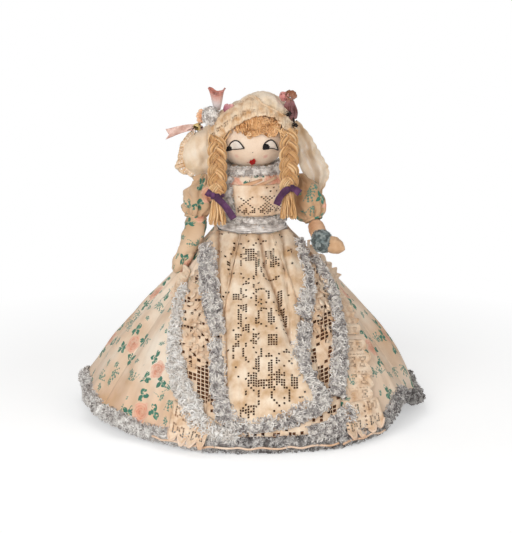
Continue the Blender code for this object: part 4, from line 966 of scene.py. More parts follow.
def printMaterial(name, base, shade, pale, stain, crowd=0.3):
    material, tree, shader = startMaterial(name, 0.88, 0.12)
    spot = clothSpot(tree)
    rest = restSpot(tree)
    ground = rampTones(tree, noiseAt(tree, rest, 0.05, 3.0), [(0.3, shade), (0.5, base), (0.68, pale)])
    low = addNode(tree, "SeparateXYZ", {0: rest}).outputs[2]
    nearHem = rampValue(tree, low, 0.055, 0.012)
    blots = calc(tree, "MULTIPLY", nearHem, rampValue(tree, noiseAt(tree, rest, 0.025, 2.0), 0.42, 0.62))
    ground = blendTones(tree, calc(tree, "MULTIPLY", blots, 0.3), ground, tone(stain))
    wobble = addNode(tree, "TexNoise", {"Vector": spot, "Scale": 1 / 0.004, "Detail": 1.0}).outputs["Color"]
    shift = addNode(tree, "VectorMath", {0: wobble, 1: (0.5, 0.5, 0.5)}, operation="SUBTRACT").outputs[0]
    shift = addNode(tree, "VectorMath", {0: shift, "Scale": 0.0022}, operation="SCALE").outputs[0]
    soft = addNode(tree, "VectorMath", {0: spot, 1: shift}, operation="ADD").outputs[0]

    def motif(size, chance):
        # Local place round the nearest scattered point, turned at random, in metres
        scaled = addNode(tree, "VectorMath", {0: soft, "Scale": 1 / size}, operation="SCALE").outputs[0]
        cells = addNode(tree, "TexVoronoi", {"Vector": scaled, "Scale": 1.0, "Randomness": chance},
                        voronoi_dimensions="2D").outputs
        local = addNode(tree, "VectorMath", {0: scaled, 1: cells["Position"]},
                        operation="SUBTRACT").outputs[0]
        dice = addNode(tree, "SeparateColor", {0: cells["Color"]}).outputs
        turned = addNode(tree, "VectorRotate", {"Vector": local, "Angle": calc(tree, "MULTIPLY", dice[0], 2 * pi)},
                         rotation_type="Z_AXIS").outputs[0]
        turned = addNode(tree, "VectorMath", {0: turned, "Scale": size}, operation="SCALE").outputs[0]
        parts = addNode(tree, "SeparateXYZ", {0: turned}).outputs
        reach = addNode(tree, "VectorMath", {0: turned}, operation="LENGTH").outputs["Value"]
        return parts[0], parts[1], reach, dice

    def leaves(x, y, reach, number, middle, halfLong, halfWide):
        # Leaves set round a point: how far inside one, above 0
        around = calc(tree, "ARCTAN2", y, x)
        step = 2 * pi / number
        folded = calc(tree, "SUBTRACT", calc(tree, "FLOORED_MODULO", around, step), step / 2)
        aside = calc(tree, "ABSOLUTE", calc(tree, "MULTIPLY", folded, reach))
        along = calc(tree, "DIVIDE", calc(tree, "SUBTRACT", reach, middle), halfLong)
        wide = calc(tree, "MULTIPLY", calc(tree, "SUBTRACT", 1.0, calc(tree, "MULTIPLY", along, along)),
                    halfWide)
        inside = calc(tree, "SUBTRACT", wide, aside)
        return inside, aside

    # roses
    x, y, reach, dice = motif(0.064, 0.55)
    around = calc(tree, "ARCTAN2", y, x)
    lobes = calc(tree, "MULTIPLY_ADD", calc(tree, "SINE", calc(tree, "MULTIPLY", around, 5.0)), 0.001, 0.0088)
    rose = rampValue(tree, calc(tree, "SUBTRACT", lobes, reach), -0.0003, 0.0003)
    swirl = calc(tree, "SINE", calc(tree, "ADD", calc(tree, "MULTIPLY", reach, 2600),
                                    calc(tree, "MULTIPLY", around, 2)))
    petals = rampTones(tree, calc(tree, "MULTIPLY_ADD", swirl, 0.16, calc(tree, "MULTIPLY", reach, 95)),
                       [(0.0, "#C97C63"), (0.35, "#DB9479"), (0.7, "#E9AC93"), (1.0, "#F0C4AC")])
    fade = rampValue(tree, noiseAt(tree, spot, 0.004, 2.0), 0.3, 0.62, 0.35, 0.95)
    colour = blendTones(tree, calc(tree, "MULTIPLY", rose, fade), ground, petals)
    quarter = calc(tree, "ROUND", calc(tree, "DIVIDE", around, pi / 2))
    quarter = calc(tree, "MULTIPLY", quarter, pi / 2)
    left = calc(tree, "SUBTRACT", x, calc(tree, "MULTIPLY", calc(tree, "COSINE", quarter), 0.0152))
    up = calc(tree, "SUBTRACT", y, calc(tree, "MULTIPLY", calc(tree, "SINE", quarter), 0.0152))
    near = calc(tree, "SQRT", calc(tree, "ADD", calc(tree, "MULTIPLY", left, left),
                                   calc(tree, "MULTIPLY", up, up)))
    odd = calc(tree, "ADD", calc(tree, "MULTIPLY", quarter, 2.3), calc(tree, "MULTIPLY", dice[2], 6))
    odd = addNode(tree, "CombineXYZ", {2: odd}).outputs[0]
    spin = addNode(tree, "VectorRotate", {"Vector": addNode(tree, "CombineXYZ", {0: left, 1: up}).outputs[0],
                                          "Rotation": odd}, rotation_type="EULER_XYZ").outputs[0]
    spin = addNode(tree, "SeparateXYZ", {0: spin}).outputs
    green = 0.0
    for turned, number, middle, long, wide in ((0.0, 3, 0.0036, 0.0034, 0.0024),
                                               (2.1, 2, 0.005, 0.0026, 0.0019)):
        flat = calc(tree, "ADD", spin[1], turned * 0.0008)
        inside, aside = leaves(spin[0], flat, near, number, middle, long, wide)
        green = calc(tree, "MAXIMUM", green, rampValue(tree, inside, -0.0001, 0.0002))
    ragged = rampValue(tree, noiseAt(tree, spot, 0.0032, 1.0), 0.34, 0.4)
    green = calc(tree, "MULTIPLY", calc(tree, "MULTIPLY", green, ragged),
                 rampValue(tree, reach, 0.0092, 0.0096))
    shadow = rampTones(tree, rampValue(tree, aside, 0.0, 0.0012),
                       [(0.0, "#A9B59A"), (0.22, "#5F8F7B"), (1.0, "#477B68")])
    colour = blendTones(tree, green, colour, shadow)
    clear = rampValue(tree, reach, 0.0215, 0.0225)
    # sprigs between them
    for size, long, wide in ((0.024, 0.0108, 0.0013), (0.017, 0.0056, 0.001)):
        x, y, reach, dice = motif(size, 1.0)
        y = calc(tree, "ADD", y, long * 0.5)
        reach = calc(tree, "SQRT", calc(tree, "ADD", calc(tree, "MULTIPLY", x, x),
                                        calc(tree, "MULTIPLY", y, y)))
        around = calc(tree, "ARCTAN2", x, y)
        fold = calc(tree, "SUBTRACT", calc(tree, "FLOORED_MODULO", calc(tree, "ADD", around, 0.27), 0.54),
                    0.27)
        aside = calc(tree, "ABSOLUTE", calc(tree, "MULTIPLY", fold, reach))
        beat = calc(tree, "SINE", calc(tree, "MULTIPLY", reach, 2 * pi / 0.003))
        half = rampValue(tree, beat, -0.2, 1.0, 0.0004, wide)
        shown = rampValue(tree, calc(tree, "SUBTRACT", half, aside), -0.0001, 0.00015)
        fan = calc(tree, "MULTIPLY", rampValue(tree, calc(tree, "ABSOLUTE", around), 1.1, 1.04),
                   rampValue(tree, reach, long, long * 0.94))
        chosen = calc(tree, "GREATER_THAN", dice[1], crowd)
        mask = calc(tree, "MULTIPLY", calc(tree, "MULTIPLY", shown, fan),
                    calc(tree, "MULTIPLY", clear, chosen))
        colour = blendTones(tree, calc(tree, "MULTIPLY", mask, 0.92), colour, tone("#55897A"))
    tree.links.new(colour, shader.inputs["Base Color"])
    height = calc(tree, "ADD", calc(tree, "MULTIPLY", weaveHeight(tree, spot, 0.0006), 0.25),
                  noiseAt(tree, rest, 0.003, 3.0))
    bumpInto(tree, shader, height, 0.35, 0.0006)
    return material


# heads

head = {
    "halfWidth": 0.036, "halfDepth": 0.033, "halfHeight": 0.035, "chin": 0.08,
    "centre": 0.272, "neckFace": 0.2403, "lowerCentre": 0.07, "lowerNeckFace": 0.1017,
    "tilt": 44.0, "lowerTilt": 30.0,
    "rows": 56, "columns": 72, "slump": 0.014, "slumpWay": (-0.5, 0.05, 0.865),
    # places on the face, as pixels
    "leftLid": ((226.1, 149.4), (229.0, 146.2), (230.8, 142.9), (234.2, 140.7), (237.7, 140.9),
                (240.6, 143.2),
                (242.9, 146.3), (244.3, 148.4)),
    "leftUnder": ((244.3, 148.4), (237.7, 149.2), (231.9, 149.6), (226.1, 150.6)),
    "leftIris": ((226.0, 147.4), (229.4, 145.8), (231.4, 146.6), (232.1, 148.6), (231.9, 150.2),
                 (227.3, 151.2)),
    "leftWhite": ((230.0, 147.5), (231.5, 143.2), (234.4, 141.2), (237.5, 141.4), (240.2, 143.6),
                  (243.2, 148.0),
                  (237.7, 149.0), (231.5, 149.6)),
    "rightLid": ((263.0, 149.0), (263.6, 145.2), (265.9, 142.2), (269.4, 140.1), (272.3, 140.2),
                 (275.2, 142.9),
                 (276.9, 146.6), (278.0, 150.0)),
    "rightUnder": ((278.0, 150.0), (272.3, 148.3), (268.8, 148.6), (263.0, 149.4)),
    "rightIris": ((264.4, 143.6), (267.8, 144.0), (269.6, 146.6), (268.9, 149.1), (264.0, 149.6),
                  (262.8, 147.2)),
    "rightWhite": ((266.0, 148.6), (266.6, 143.0), (269.6, 140.8), (272.2, 140.9), (274.8, 143.3),
                   (277.2, 149.2),
                   (272.3, 148.0), (268.8, 148.4)),
    "lips": ((249.2, 162.4), (250.3, 160.0), (252.2, 159.9), (254.2, 157.9), (255.6, 160.4), (255.1, 163.4),
             (251.8, 164.8)),
    "mouthLine": ((246.9, 162.6), (250.0, 162.0), (257.2, 160.8)),
    "nose": (252.8, 152.6),
    "cheeks": (((236.5, 156.3), 0.003, 0.3), ((266.0, 157.3), 0.0034, 0.55)),
    "threadRadius": 0.00058,
}


def headPoint(direction, offset=0.0, side=1):
    # direction has +Z towards the crown, whichever way up the half doll is
    direction = np.asarray(direction, dtype=float)
    direction = direction / np.linalg.norm(direction, axis=-1, keepdims=True)
    reach = 1 / np.sqrt((direction[..., 0] / head["halfWidth"]) ** 2
                        + (direction[..., 1] / head["halfDepth"]) ** 2
                        + (direction[..., 2] / head["halfHeight"]) ** 2)
    chin = np.maximum(0, -direction[..., 2]) * np.maximum(0, -direction[..., 1])
    reach = reach * (1 + head["chin"] * chin) + offset
    if side > 0:
        reach = reach - head["slump"] * np.maximum(0, direction @ np.array(head["slumpWay"])) ** 6
    centre = head["centre"] if side > 0 else head["lowerCentre"]
    return np.stack([direction[..., 0] * reach, direction[..., 1] * reach,
                     centre + side * direction[..., 2] * reach], axis=-1)


def poleDirection(tilt, away, around):
    # away is the angle from a pole that leans back from the crown; around runs from +X to the back
    away, around = np.broadcast_arrays(np.radians(away), np.radians(around))
    pole = np.array([0, sin(radians(tilt)), cos(radians(tilt))])
    first = np.array([1.0, 0, 0])
    second = np.cross(pole, first)
    spread = first * np.cos(around)[..., None] + second * np.sin(around)[..., None]
    return pole * np.cos(away)[..., None] + spread * np.sin(away)[..., None]


def domeGrid(spread, rows, columns, start=1.0):
    away, around = np.meshgrid(np.linspace(start, spread, rows), np.arange(columns) * 360 / columns,
                               indexing="ij")
    return away, around


def shellMesh(outer, inner):
    # Two closed-round grids from pole to rim become one thin skin, closed at the pole and the rim
    rows, columns = outer.shape[:2]
    count = rows * columns
    faces = gridFaces(rows, columns, 0, around=True) + gridFaces(rows, columns, count, flip=True, around=True)
    last = (rows - 1) * columns
    for column in range(columns):
        ahead = (column + 1) % columns
        faces.append((last + column, last + ahead, count + last + ahead, count + last + column))
    faces.append(tuple(range(columns)))
    faces.append(tuple(count + column for column in reversed(range(columns))))
    return np.concatenate([outer.reshape(-1, 3), inner.reshape(-1, 3)]), faces


def makeHeadPiece(name, side, material, node):
    away, around = domeGrid(179.0, head["rows"], head["columns"])
    direction = poleDirection(0, away, around)
    lumps = 0.00035 * ripple(direction, 0.7, 3)
    points = headPoint(direction, lumps, side)
    if side > 0:
        points[..., 2] = np.maximum(points[..., 2], head["neckFace"])
    else:
        points[..., 2] = np.minimum(points[..., 2], head["lowerNeckFace"])
    rows, columns = points.shape[:2]
    faces = gridFaces(rows, columns, around=True)
    faces.append(tuple(range(columns)))
    faces.append(tuple((rows - 1) * columns + column for column in reversed(range(columns))))
    piece = makePiece(name, points, faces, material, "root", replaces=(node,))
    return piece


def faceTree(side=1):
    # A plain head surface to lay threads and patches on
    away, around = domeGrid(179.0, 60, 90)
    points = headPoint(poleDirection(0, away, around), 0.0003, side).reshape(-1, 3)
    faces = gridFaces(60, 90, around=True)
    return BVHTree.FromPolygons([Vector(point) for point in points], faces)


def onFace(tree, pixel, stand):
    start, direction = pixelRay(pixel)
    spot, normal, _, _ = tree.ray_cast(start, direction)
    if normal.dot(direction) > 0:
        normal = -normal
    return np.array(spot + normal * stand), np.array(normal)


def stitchLine(tree, pixels, stand, radius, steps=8, stitch=0.0017):
    # A sewn line: a tube that narrows where each stitch goes into the cloth
    path = curve([(x, y, 0) for x, y in pixels], steps)
    placed = [onFace(tree, (x, y), stand) for x, y, _ in path]
    points = np.array([spot for spot, _ in placed])
    normals = np.array([normal for _, normal in placed])
    length = np.concatenate([[0], np.cumsum(np.linalg.norm(np.diff(points, axis=0), axis=1))])
    swell = 0.72 + 0.28 * np.abs(np.sin(pi * length / stitch))
    return tubeRings(points, normals, radius * swell, radius * 0.8 * swell, 8)


def satinPatch(tree, pixels, stand, thread, slope=0.0):
    # Satin stitch: close parallel threads that fill an outline drawn in pixels
    outline = np.array(pixels)
    centre = outline.mean(axis=0)
    turn = radians(slope)
    turned = (outline - centre) @ np.array([[cos(turn), -sin(turn)], [sin(turn), cos(turn)]])
    tubes = []
    pixelThread = thread * 1.7 / camera["metresPerPixel"]
    level = turned[:, 1].min() + pixelThread / 2
    back = np.array([[cos(turn), sin(turn)], [-sin(turn), cos(turn)]])
    while level < turned[:, 1].max():
        crossings = []
        for start, end in zip(turned, np.roll(turned, -1, axis=0)):
            if (start[1] - level) * (end[1] - level) < 0:
                share = (level - start[1]) / (end[1] - start[1])
                crossings.append(start[0] + (end[0] - start[0]) * share)
        if len(crossings) >= 2:
            low, high = min(crossings), max(crossings)
            if high - low > 0.5:
                line = np.array([(x, level) for x in np.linspace(low, high, 6)]) @ back + centre
                placed = [onFace(tree, tuple(spot), stand) for spot in line]
                points = np.array([spot for spot, _ in placed])
                arch = np.sin(np.linspace(0, pi, 6))[:, None] * np.array([normal for _, normal in placed]) * 0.0002
                tubes.append(tubeRings(points + arch, placed[2][1], thread, thread * 0.9, 6))
        level += pixelThread
    return tubes


def makeFace(black, white, red, pink):
    tree = faceTree()
    radius = head["threadRadius"]
    darkTubes = []
    for line in ("leftLid", "leftUnder", "rightLid", "rightUnder"):
        darkTubes.append(stitchLine(tree, head[line], radius * 0.5,
                                    radius * (1.15 if "Lid" in line else 0.85)))
    for patch in ("leftIris", "rightIris"):
        darkTubes += satinPatch(tree, head[patch], radius * 0.8, 0.00034, 80)
    knot, normal = onFace(tree, head["nose"], 0)
    line = np.array([knot - normal * 0.0003, knot, knot + normal * 0.0003])
    darkTubes.append(tubeRings(line, (1, 0, 0), 0.00034, 0.00034, 8))
    points, faces = joinTubes(darkTubes)
    makePiece("eye_stitches", points, faces, black, "root", tidy=False)
    whiteTubes = []
    for patch in ("leftWhite", "rightWhite"):
        whiteTubes += satinPatch(tree, head[patch], 0.0001, 0.00028, 85)
    points, faces = joinTubes(whiteTubes)
    makePiece("eye_whites", points, faces, white, "root", tidy=False)
    points, faces = joinTubes(satinPatch(tree, head["lips"], 0.0003, 0.00034, 20))
    makePiece("lips", points, faces, red, "root", tidy=False)
    points, faces = joinTubes([stitchLine(tree, head["mouthLine"], 0.0001, 0.00022)])
    makePiece("mouth_line", points, faces, pink, "root", tidy=False)
    print("face stitched")


def faceMaterial():
    # Cream cloth, aged, with rubbed pink on the cheeks
    material, tree, shader = startMaterial("face cotton", 0.86, 0.12)
    spot = restSpot(tree)
    colour = rampTones(tree, noiseAt(tree, spot, 0.03), [(0.3, "#EBCFB4"), (0.5, "#F2DAC2"),
                                                         (0.7, "#F8E6D3")])
    surface = faceTree()
    for pixel, size, strength in head["cheeks"]:
        middle, _ = onFace(surface, pixel, 0)
        away = addNode(tree, "VectorMath", {0: spot, 1: tuple(middle)}, operation="DISTANCE").outputs["Value"]
        mask = rampValue(tree, away, size, size * 0.25, 0.0, strength)
        colour = blendTones(tree, mask, colour, tone("#D9776B"))
    grain = noiseAt(tree, spot, 0.0012, 2.0)
    colour = blendTones(tree, rampValue(tree, grain, 0.4, 0.8, 0.0, 0.2), colour, tone("#D5AF90"))
    tree.links.new(colour, shader.inputs["Base Color"])
    height = calc(tree, "ADD", calc(tree, "MULTIPLY", weaveHeight(tree, spot, 0.00065), 0.35), grain)
    bumpInto(tree, shader, height, 0.4, 0.0004)
    return material


# yarn: bundles of thin twisted threads

yarn = {"radius": 0.00062, "sides": 6}


def yarnMaterial(name, tones, twist=0.0016):
    # Plied wool or straw yarn: each thread has its own tone and a slanting ply
    material, tree, shader = startMaterial(name, 0.8, 0.25)
    island = addNode(tree, "NewGeometry").outputs["Random Per Island"]
    spot = restSpot(tree)
    cloud = noiseAt(tree, spot, 0.008, 2.0)
    mixed = calc(tree, "ADD", calc(tree, "MULTIPLY", island, 0.55), calc(tree, "MULTIPLY", cloud, 0.5))
    colour = rampTones(tree, rampValue(tree, mixed, 0.15, 0.85), tones)
    tree.links.new(colour, shader.inputs["Base Color"])
    parts = addNode(tree, "SeparateXYZ", {0: spot}).outputs
    slant = calc(tree, "ADD", calc(tree, "MULTIPLY", parts[2], 2 * pi / twist),
                 calc(tree, "MULTIPLY", parts[0], 1.6 * pi / twist))
    height = calc(tree, "ADD", calc(tree, "SINE", slant), noiseAt(tree, spot, 0.0008, 1.0))
    bumpInto(tree, shader, height, 0.35, 0.0003)
    return material


def bundle(path, normal, halfWide, halfDeep, count, radius, seed, spread=1.0, turns=0.0):
    # Several threads laid side by side within an oval, along one path
    source = np.random.default_rng(seed)
    path = np.asarray(path, dtype=float)
    along = np.gradient(path, axis=0)
    along /= np.linalg.norm(along, axis=1)[:, None]
    normal = np.broadcast_to(np.asarray(normal, dtype=float), path.shape)
    normal = normal - along * np.sum(normal * along, axis=1)[:, None]
    normal /= np.linalg.norm(normal, axis=1)[:, None]
    across = np.cross(along, normal)
    share = np.linspace(0, 1, len(path))
    widen = 1 + (spread - 1) * share
    tubes = []
    for number in range(count):
        turn = 2 * pi * (number + source.uniform(-0.3, 0.3)) / count + 2 * pi * turns * share
        reach = source.uniform(0.75, 1.0) if number % 3 else source.uniform(0.2, 0.5)
        wave = 0.12 * np.sin(share * source.uniform(4, 9) + source.uniform(0, 6))
        aside = (np.cos(turn) * reach + wave) * halfWide * widen
        out = (np.sin(turn) * reach) * halfDeep * widen
        line = path + across * aside[:, None] + normal * out[:, None]
        thick = radius * source.uniform(0.8, 1.2)
        tubes.append(tubeRings(line, normal, thick, thick, yarn["sides"]))
    return tubes


braids = {
    "length": 0.054, "pitch": 0.03, "halfWidth": 0.0056, "halfDepth": 0.003,
    "strandHalfWide": 0.0037, "strandHalfDeep": 0.0027, "threads": 17, "steps": 46,
    "lean": (0, -0.018, -0.074), "knot": 0.004,
    "leftTop": (-0.0328, -0.028, 0.27), "rightTop": (0.0352, -0.0262, 0.2755),
    "tasselLength": 0.026, "tasselThreads": 64, "tasselHalfWide": 0.0056, "tasselHalfDeep": 0.0042,
    "ribbonHalf": 0.0034, "ribbonThin": 0.00035,
    # ribbon ends: drop below the knot and step aside, as shares of the tassel
    "leftRibbon": ((-0.2, -0.42), (-0.06, -0.2), (0.1, 0.06), (0.42, 0.36), (0.86, 0.66)),
    "rightRibbon": ((0.1, 0.42), (-0.1, 0.16), (0.0, -0.14), (0.25, -0.36), (0.56, -0.5)),
}


def braidFrame(name):
    top = np.array(braids[name + "Top"])
    along = np.array(braids["lean"], dtype=float)
    along /= np.linalg.norm(along)
    across = np.array([1.0, 0, 0])
    normal = np.cross(across, along)
    if normal[1] > 0:
        normal = -normal
    return top, along, across, normal


def makeBraid(name, yellow, ribbonCloth):
    top, along, across, normal = braidFrame(name)
    share = np.linspace(-0.03, 1.0, braids["steps"])
    tubes = []
    for strand in range(3):
        turn = 2 * pi * (share * braids["length"] / braids["pitch"] + strand / 3)
        path = (top + along * (share * braids["length"])[:, None]
                + across * (braids["halfWidth"] * np.sin(turn))[:, None]
                + normal * (braids["halfDepth"] * np.sin(2 * turn))[:, None])
        tubes += bundle(path, normal, braids["strandHalfWide"], braids["strandHalfDeep"], braids["threads"],
                        yarn["radius"], 10 + strand, turns=0.8)
    end = top + along * braids["length"]
    for ring in range(4):
        turn = np.linspace(0, 2 * pi, 22)
        place = end + along * (0.001 * (ring - 1.5))
        path = (place + across * (0.0058 * np.cos(turn))[:, None] + normal * (0.0046 * np.sin(turn))[:, None])
        tubes.append(tubeRings(path, along, yarn["radius"], yarn["radius"], 5))
    points, faces = joinTubes(tubes)
    makePiece(name + "_plait", points, faces, yellow, name + "_braid",
              replaces=(name + "_braid",), tidy=False)

    source = np.random.default_rng(7 if name == "left" else 8)
    start = top + along * (braids["length"] + braids["knot"] / 2)
    tubes = []
    for _ in range(braids["tasselThreads"]):
        turn = source.uniform(0, 2 * pi)
        reach = sqrt(source.random())
        aside = cos(turn) * reach
        out = sin(turn) * reach
        length = braids["tasselLength"] * source.uniform(0.82, 1.05)
        share = np.linspace(0, 1, 9)
        flare = 0.75 + 0.75 * share ** 1.3
        wave = 0.0006 * np.sin(share * source.uniform(3, 8) + source.uniform(0, 6))
        path = (start + along * (share * length)[:, None]
                + across * (aside * braids["tasselHalfWide"] * flare + wave)[:, None]
                + normal * (out * braids["tasselHalfDeep"] * flare)[:, None])
        thick = yarn["radius"] * source.uniform(0.75, 1.15)
        tubes.append(tubeRings(path, normal, thick, thick, 5))
    points, faces = joinTubes(tubes)
    makePiece(name + "_tassel_yarn", points, faces, yellow, name + "_braid",
              replaces=(name + "_tassel",), tidy=False)

    # ribbon: a twisted flat band with a knot
    stand = 0.0062
    stops = [start + along * (0.024 * low) + across * (0.024 * step) + normal * stand
             for low, step in braids[name + "Ribbon"]]
    path = curve(stops, 8)
    share = np.linspace(0, 1, len(path))
    turn = 0.5 * np.sin(share * 7)
    facing = normal * np.cos(turn)[:, None] + across * np.sin(turn)[:, None]
    pinch = 1 - 0.55 * np.exp(-((share - 0.3) / 0.09) ** 2)
    band = tubeRings(path, facing, braids["ribbonHalf"] * pinch, braids["ribbonThin"], 12)
    knotMiddle = path[int(len(path) * 0.3)]
    turn = np.linspace(0, 2 * pi, 18)
    loop = (knotMiddle + along * (0.0026 * np.cos(turn))[:, None] + normal
            * (0.0012 * np.sin(turn) + 0.0002)[:, None])
    knot = tubeRings(loop, across, 0.0009, 0.0022, 10)
    around = (top + along * (braids["length"] + 0.0005) + across * (0.0066 * np.cos(turn))[:, None]
              + normal * (0.0056 * np.sin(turn))[:, None])
    belt = tubeRings(around, along, 0.0006, 0.0018, 8)
    points, faces = joinTubes([band, knot, belt])
    makePiece(name + "_ribbon_tie", points, faces, ribbonCloth, name + "_braid",
              replaces=(name + "_braid_ribbon",), tidy=False)


fringe = {
    "offset": 0.0036, "curlRadius": 0.0017, "curls": 260, "locks": 60,
    "templeStrands": 26,
    # how far down the forehead the yarn comes: side turn, then degrees from the leaning pole
    "ends": ((-46.0, 118.0), (-20.0, 127.0), (-4.0, 133.0), (8.0, 129.0), (20.0, 128.0), (36.0, 127.0),
             (55.0, 120.0)),
}


def makeHair(yellow, darker):
    # Wig: combed yarn over the head, seen round the bonnet's edge
    columns = 220
    away, around = domeGrid(99.0, 40, columns)
    direction = poleDirection(head["tilt"], away, around)
    comb = 0.0005 * np.sin(np.radians(around) * 64) * np.clip(away / 40, 0, 1)
    rim = 1 - np.clip((away - 90) / 9, 0, 1) ** 2 * 0.75
    outer = headPoint(direction, 0.0003 + 0.0032 * rim + comb * rim)
    inner = headPoint(direction, 0.0004)
    points, faces = shellMesh(outer, inner)
    makePiece("combed_wig", points, faces, yellow, "root", replaces=("hair_wig",))

    source = np.random.default_rng(21)
    ends = np.array(fringe["ends"])
    middle = np.array([0, 0, head["centre"]])
    tubes = []
    for number in range(fringe["curls"]):
        side = source.uniform(-14, 46)
        low = np.interp(side, ends[:, 0], ends[:, 1])
        spot = headPoint(poleDirection(head["tilt"], source.uniform(104, low), side - 90),
                         fringe["offset"] * source.uniform(0.35, 1.1))
        outward = spot - middle
        outward /= np.linalg.norm(outward)
        aside = np.cross(outward, source.normal(size=3))
        aside /= np.linalg.norm(aside)
        up = np.cross(outward, aside)
        turn = np.linspace(0, source.uniform(1.3, 2.2) * pi, 14)
        size = fringe["curlRadius"] * source.uniform(0.7, 1.35)
        path = (spot + aside * (size * np.cos(turn))[:, None] + up * (size * np.sin(turn))[:, None]
                + outward * (0.0007 * np.sin(turn * 0.5 + source.uniform(0, 3)) + turn * 0.0001)[:, None])
        tubes.append(tubeRings(path, outward, yarn["radius"], yarn["radius"], 5))
    for number in range(fringe["locks"]):
        side = source.uniform(-44, 46) if number % 2 else source.uniform(-30, 12)
        low = np.interp(side, ends[:, 0], ends[:, 1]) - source.uniform(0, 5)
        share = np.linspace(0, 1, 9)
        away = 94 + (low - 94) * share
        around = side - 90 + 3 * np.sin(share * 4 + number) + source.uniform(-2, 2)
        path = headPoint(poleDirection(head["tilt"], away, around), 0.003 + 0.0012 * np.sin(share * pi))
        tubes.append(tubeRings(path, path - middle, yarn["radius"], yarn["radius"], 5))
    points, faces = joinTubes(tubes)
    makePiece("fringe_curls", points, faces, darker, "root", replaces=("hair_fringe",), tidy=False)

    # Strands combed from under the brim down to the tops of the braids
    tubes = []
    for name, way in (("left", -1), ("right", 1)):
        top, along, across, normal = braidFrame(name)
        for number in range(fringe["templeStrands"]):
            share = np.linspace(0, 1, 12)
            start = way * source.uniform(30, 84)
            away = source.uniform(90, 100)
            spot = headPoint(poleDirection(head["tilt"], away, start - 90), 0.0035)
            low = headPoint(poleDirection(head["tilt"], 112 if abs(start) < 60 else 108, start * 1.02 - 90),
                            0.004)
            end = (top + along * source.uniform(0.001, 0.007) + across * source.uniform(-0.0062, 0.0062)
                   + normal * source.uniform(-0.001, 0.0036))
            path = curve([spot, low, end], 6)
            tubes.append(tubeRings(path, path - middle, yarn["radius"], yarn["radius"], 5))
    points, faces = joinTubes(tubes)
    makePiece("temple_hair", points, faces, yellow, "root", tidy=False)
    print("hair made")


# bonnet

bonnet = {
    "skin": 0.0048, "thin": 0.0005, "spread": 96.0, "gathers": 30, "gatherHeight": 0.0006,
    "columns": 150, "rows": 16,
    # side turn over the head, then the band's seam and its free edge in degrees from the leaning pole
    "band": ((-100.0, 96.0, 112.0), (-84.0, 90.0, 116.5), (-60.0, 80.0, 120.5), (-42.0, 70.0, 120.0),
             (-20.0, 60.0, 114.0), (-6.0, 58.0, 108.5), (4.0, 66.0, 105.0), (14.0, 84.0, 102.5),
             (32.0, 90.0, 101.5),
             (41.0, 91.0, 107.0), (51.0, 92.0, 114.0), (62.0, 94.0, 118.0), (84.0, 96.0, 116.0),
             (100.0, 98.0, 112.0)),
    "seamStand": 0.006, "edgeStand": 0.0082, "sideStand": 0.01,
}


def makeBonnetCrown(gauze):
    away, around = domeGrid(bonnet["spread"] + 2, 80, 260)
    direction = poleDirection(head["tilt"], away, around)
    nearRim = np.clip((away - 40) / 50, 0, 1)
    pleats = bonnet["gatherHeight"] * np.sin(np.radians(around) * bonnet["gathers"]
                                             + 2.5 * ripple(direction, 1.0, 5)) * nearRim ** 1.5
    wrinkles = 0.0009 * ripple(direction, 0.45, 8) + 0.0005 * ripple(direction, 0.16, 9)
    lift = bonnet["skin"] + 0.0004 + pleats + np.maximum(wrinkles, -0.0008)
    outer = headPoint(direction, lift)
    inner = headPoint(direction, lift - bonnet["thin"])
    points, faces = shellMesh(outer, inner)
    crown = makePiece("gathered_bonnet", points, faces, gauze, "root", replaces=("bonnet_crown",))


def brimGrid(rows, columns, stand=0.0):
    # The lace band round the face, ruffled, as a grid from its seam to its free edge
    band = np.array(bonnet["band"])
    share, side = np.meshgrid(np.linspace(0, 1, rows), np.linspace(band[0, 0], band[-1, 0], columns),
                              indexing="ij")
    seam = np.interp(side, band[:, 0], band[:, 1])
    edge = np.interp(side, band[:, 0], band[:, 2])
    ruffle = 0.0012 * np.sin(np.radians(side) * 26) * share + 0.0008 * np.sin(np.radians(side) * 61 + 1) * share ** 2
    scallop = 1.1 * np.abs(np.sin(np.radians(side) * 34)) * np.clip(share * 4 - 3, 0, 1)
    atSides = np.clip((np.abs(side) - 38) / 22, 0, 1)
    free = bonnet["edgeStand"] + (bonnet["sideStand"] - bonnet["edgeStand"]) * atSides
    lift = bonnet["seamStand"] + (free - bonnet["seamStand"]) * share ** 0.8 + ruffle + stand
    return headPoint(poleDirection(head["tilt"], seam + (edge - seam) * share + scallop, side - 90), lift)


def openLace(grid, opened, inset):
    # Cells of a lace strip: a grid of corners becomes filled and open cells
    rows, columns = grid.shape[:2]
    points = list(grid.reshape(-1, 3))
    faces = []
    for row in range(rows - 1):
        for column in range(columns - 1):
            quad = [row * columns + column, row * columns + column + 1,
                    (row + 1) * columns + column + 1, (row + 1) * columns + column]
            if opened(column, row):
                corner = grid.reshape(-1, 3)[quad]
                middle = corner.mean(axis=0)
                start = len(points)
                points.extend(middle + (corner - middle) * (1 - inset))
                for side in range(4):
                    ahead = (side + 1) % 4
                    faces.append((quad[side], quad[ahead], start + ahead, start + side))
            else:
                faces.append(tuple(quad))
    return np.array(points), faces


def laceStrip(name, grid, opened, inset, thick, material, body, replaces=()):
    points, faces = openLace(grid, opened, inset)
    item = makePiece(name, points, faces, material, body, replaces=replaces, tidy=False)
    body = item.modifiers.new("thickness", "SOLIDIFY")
    body.thickness = thick
    body.offset = 0
    return item


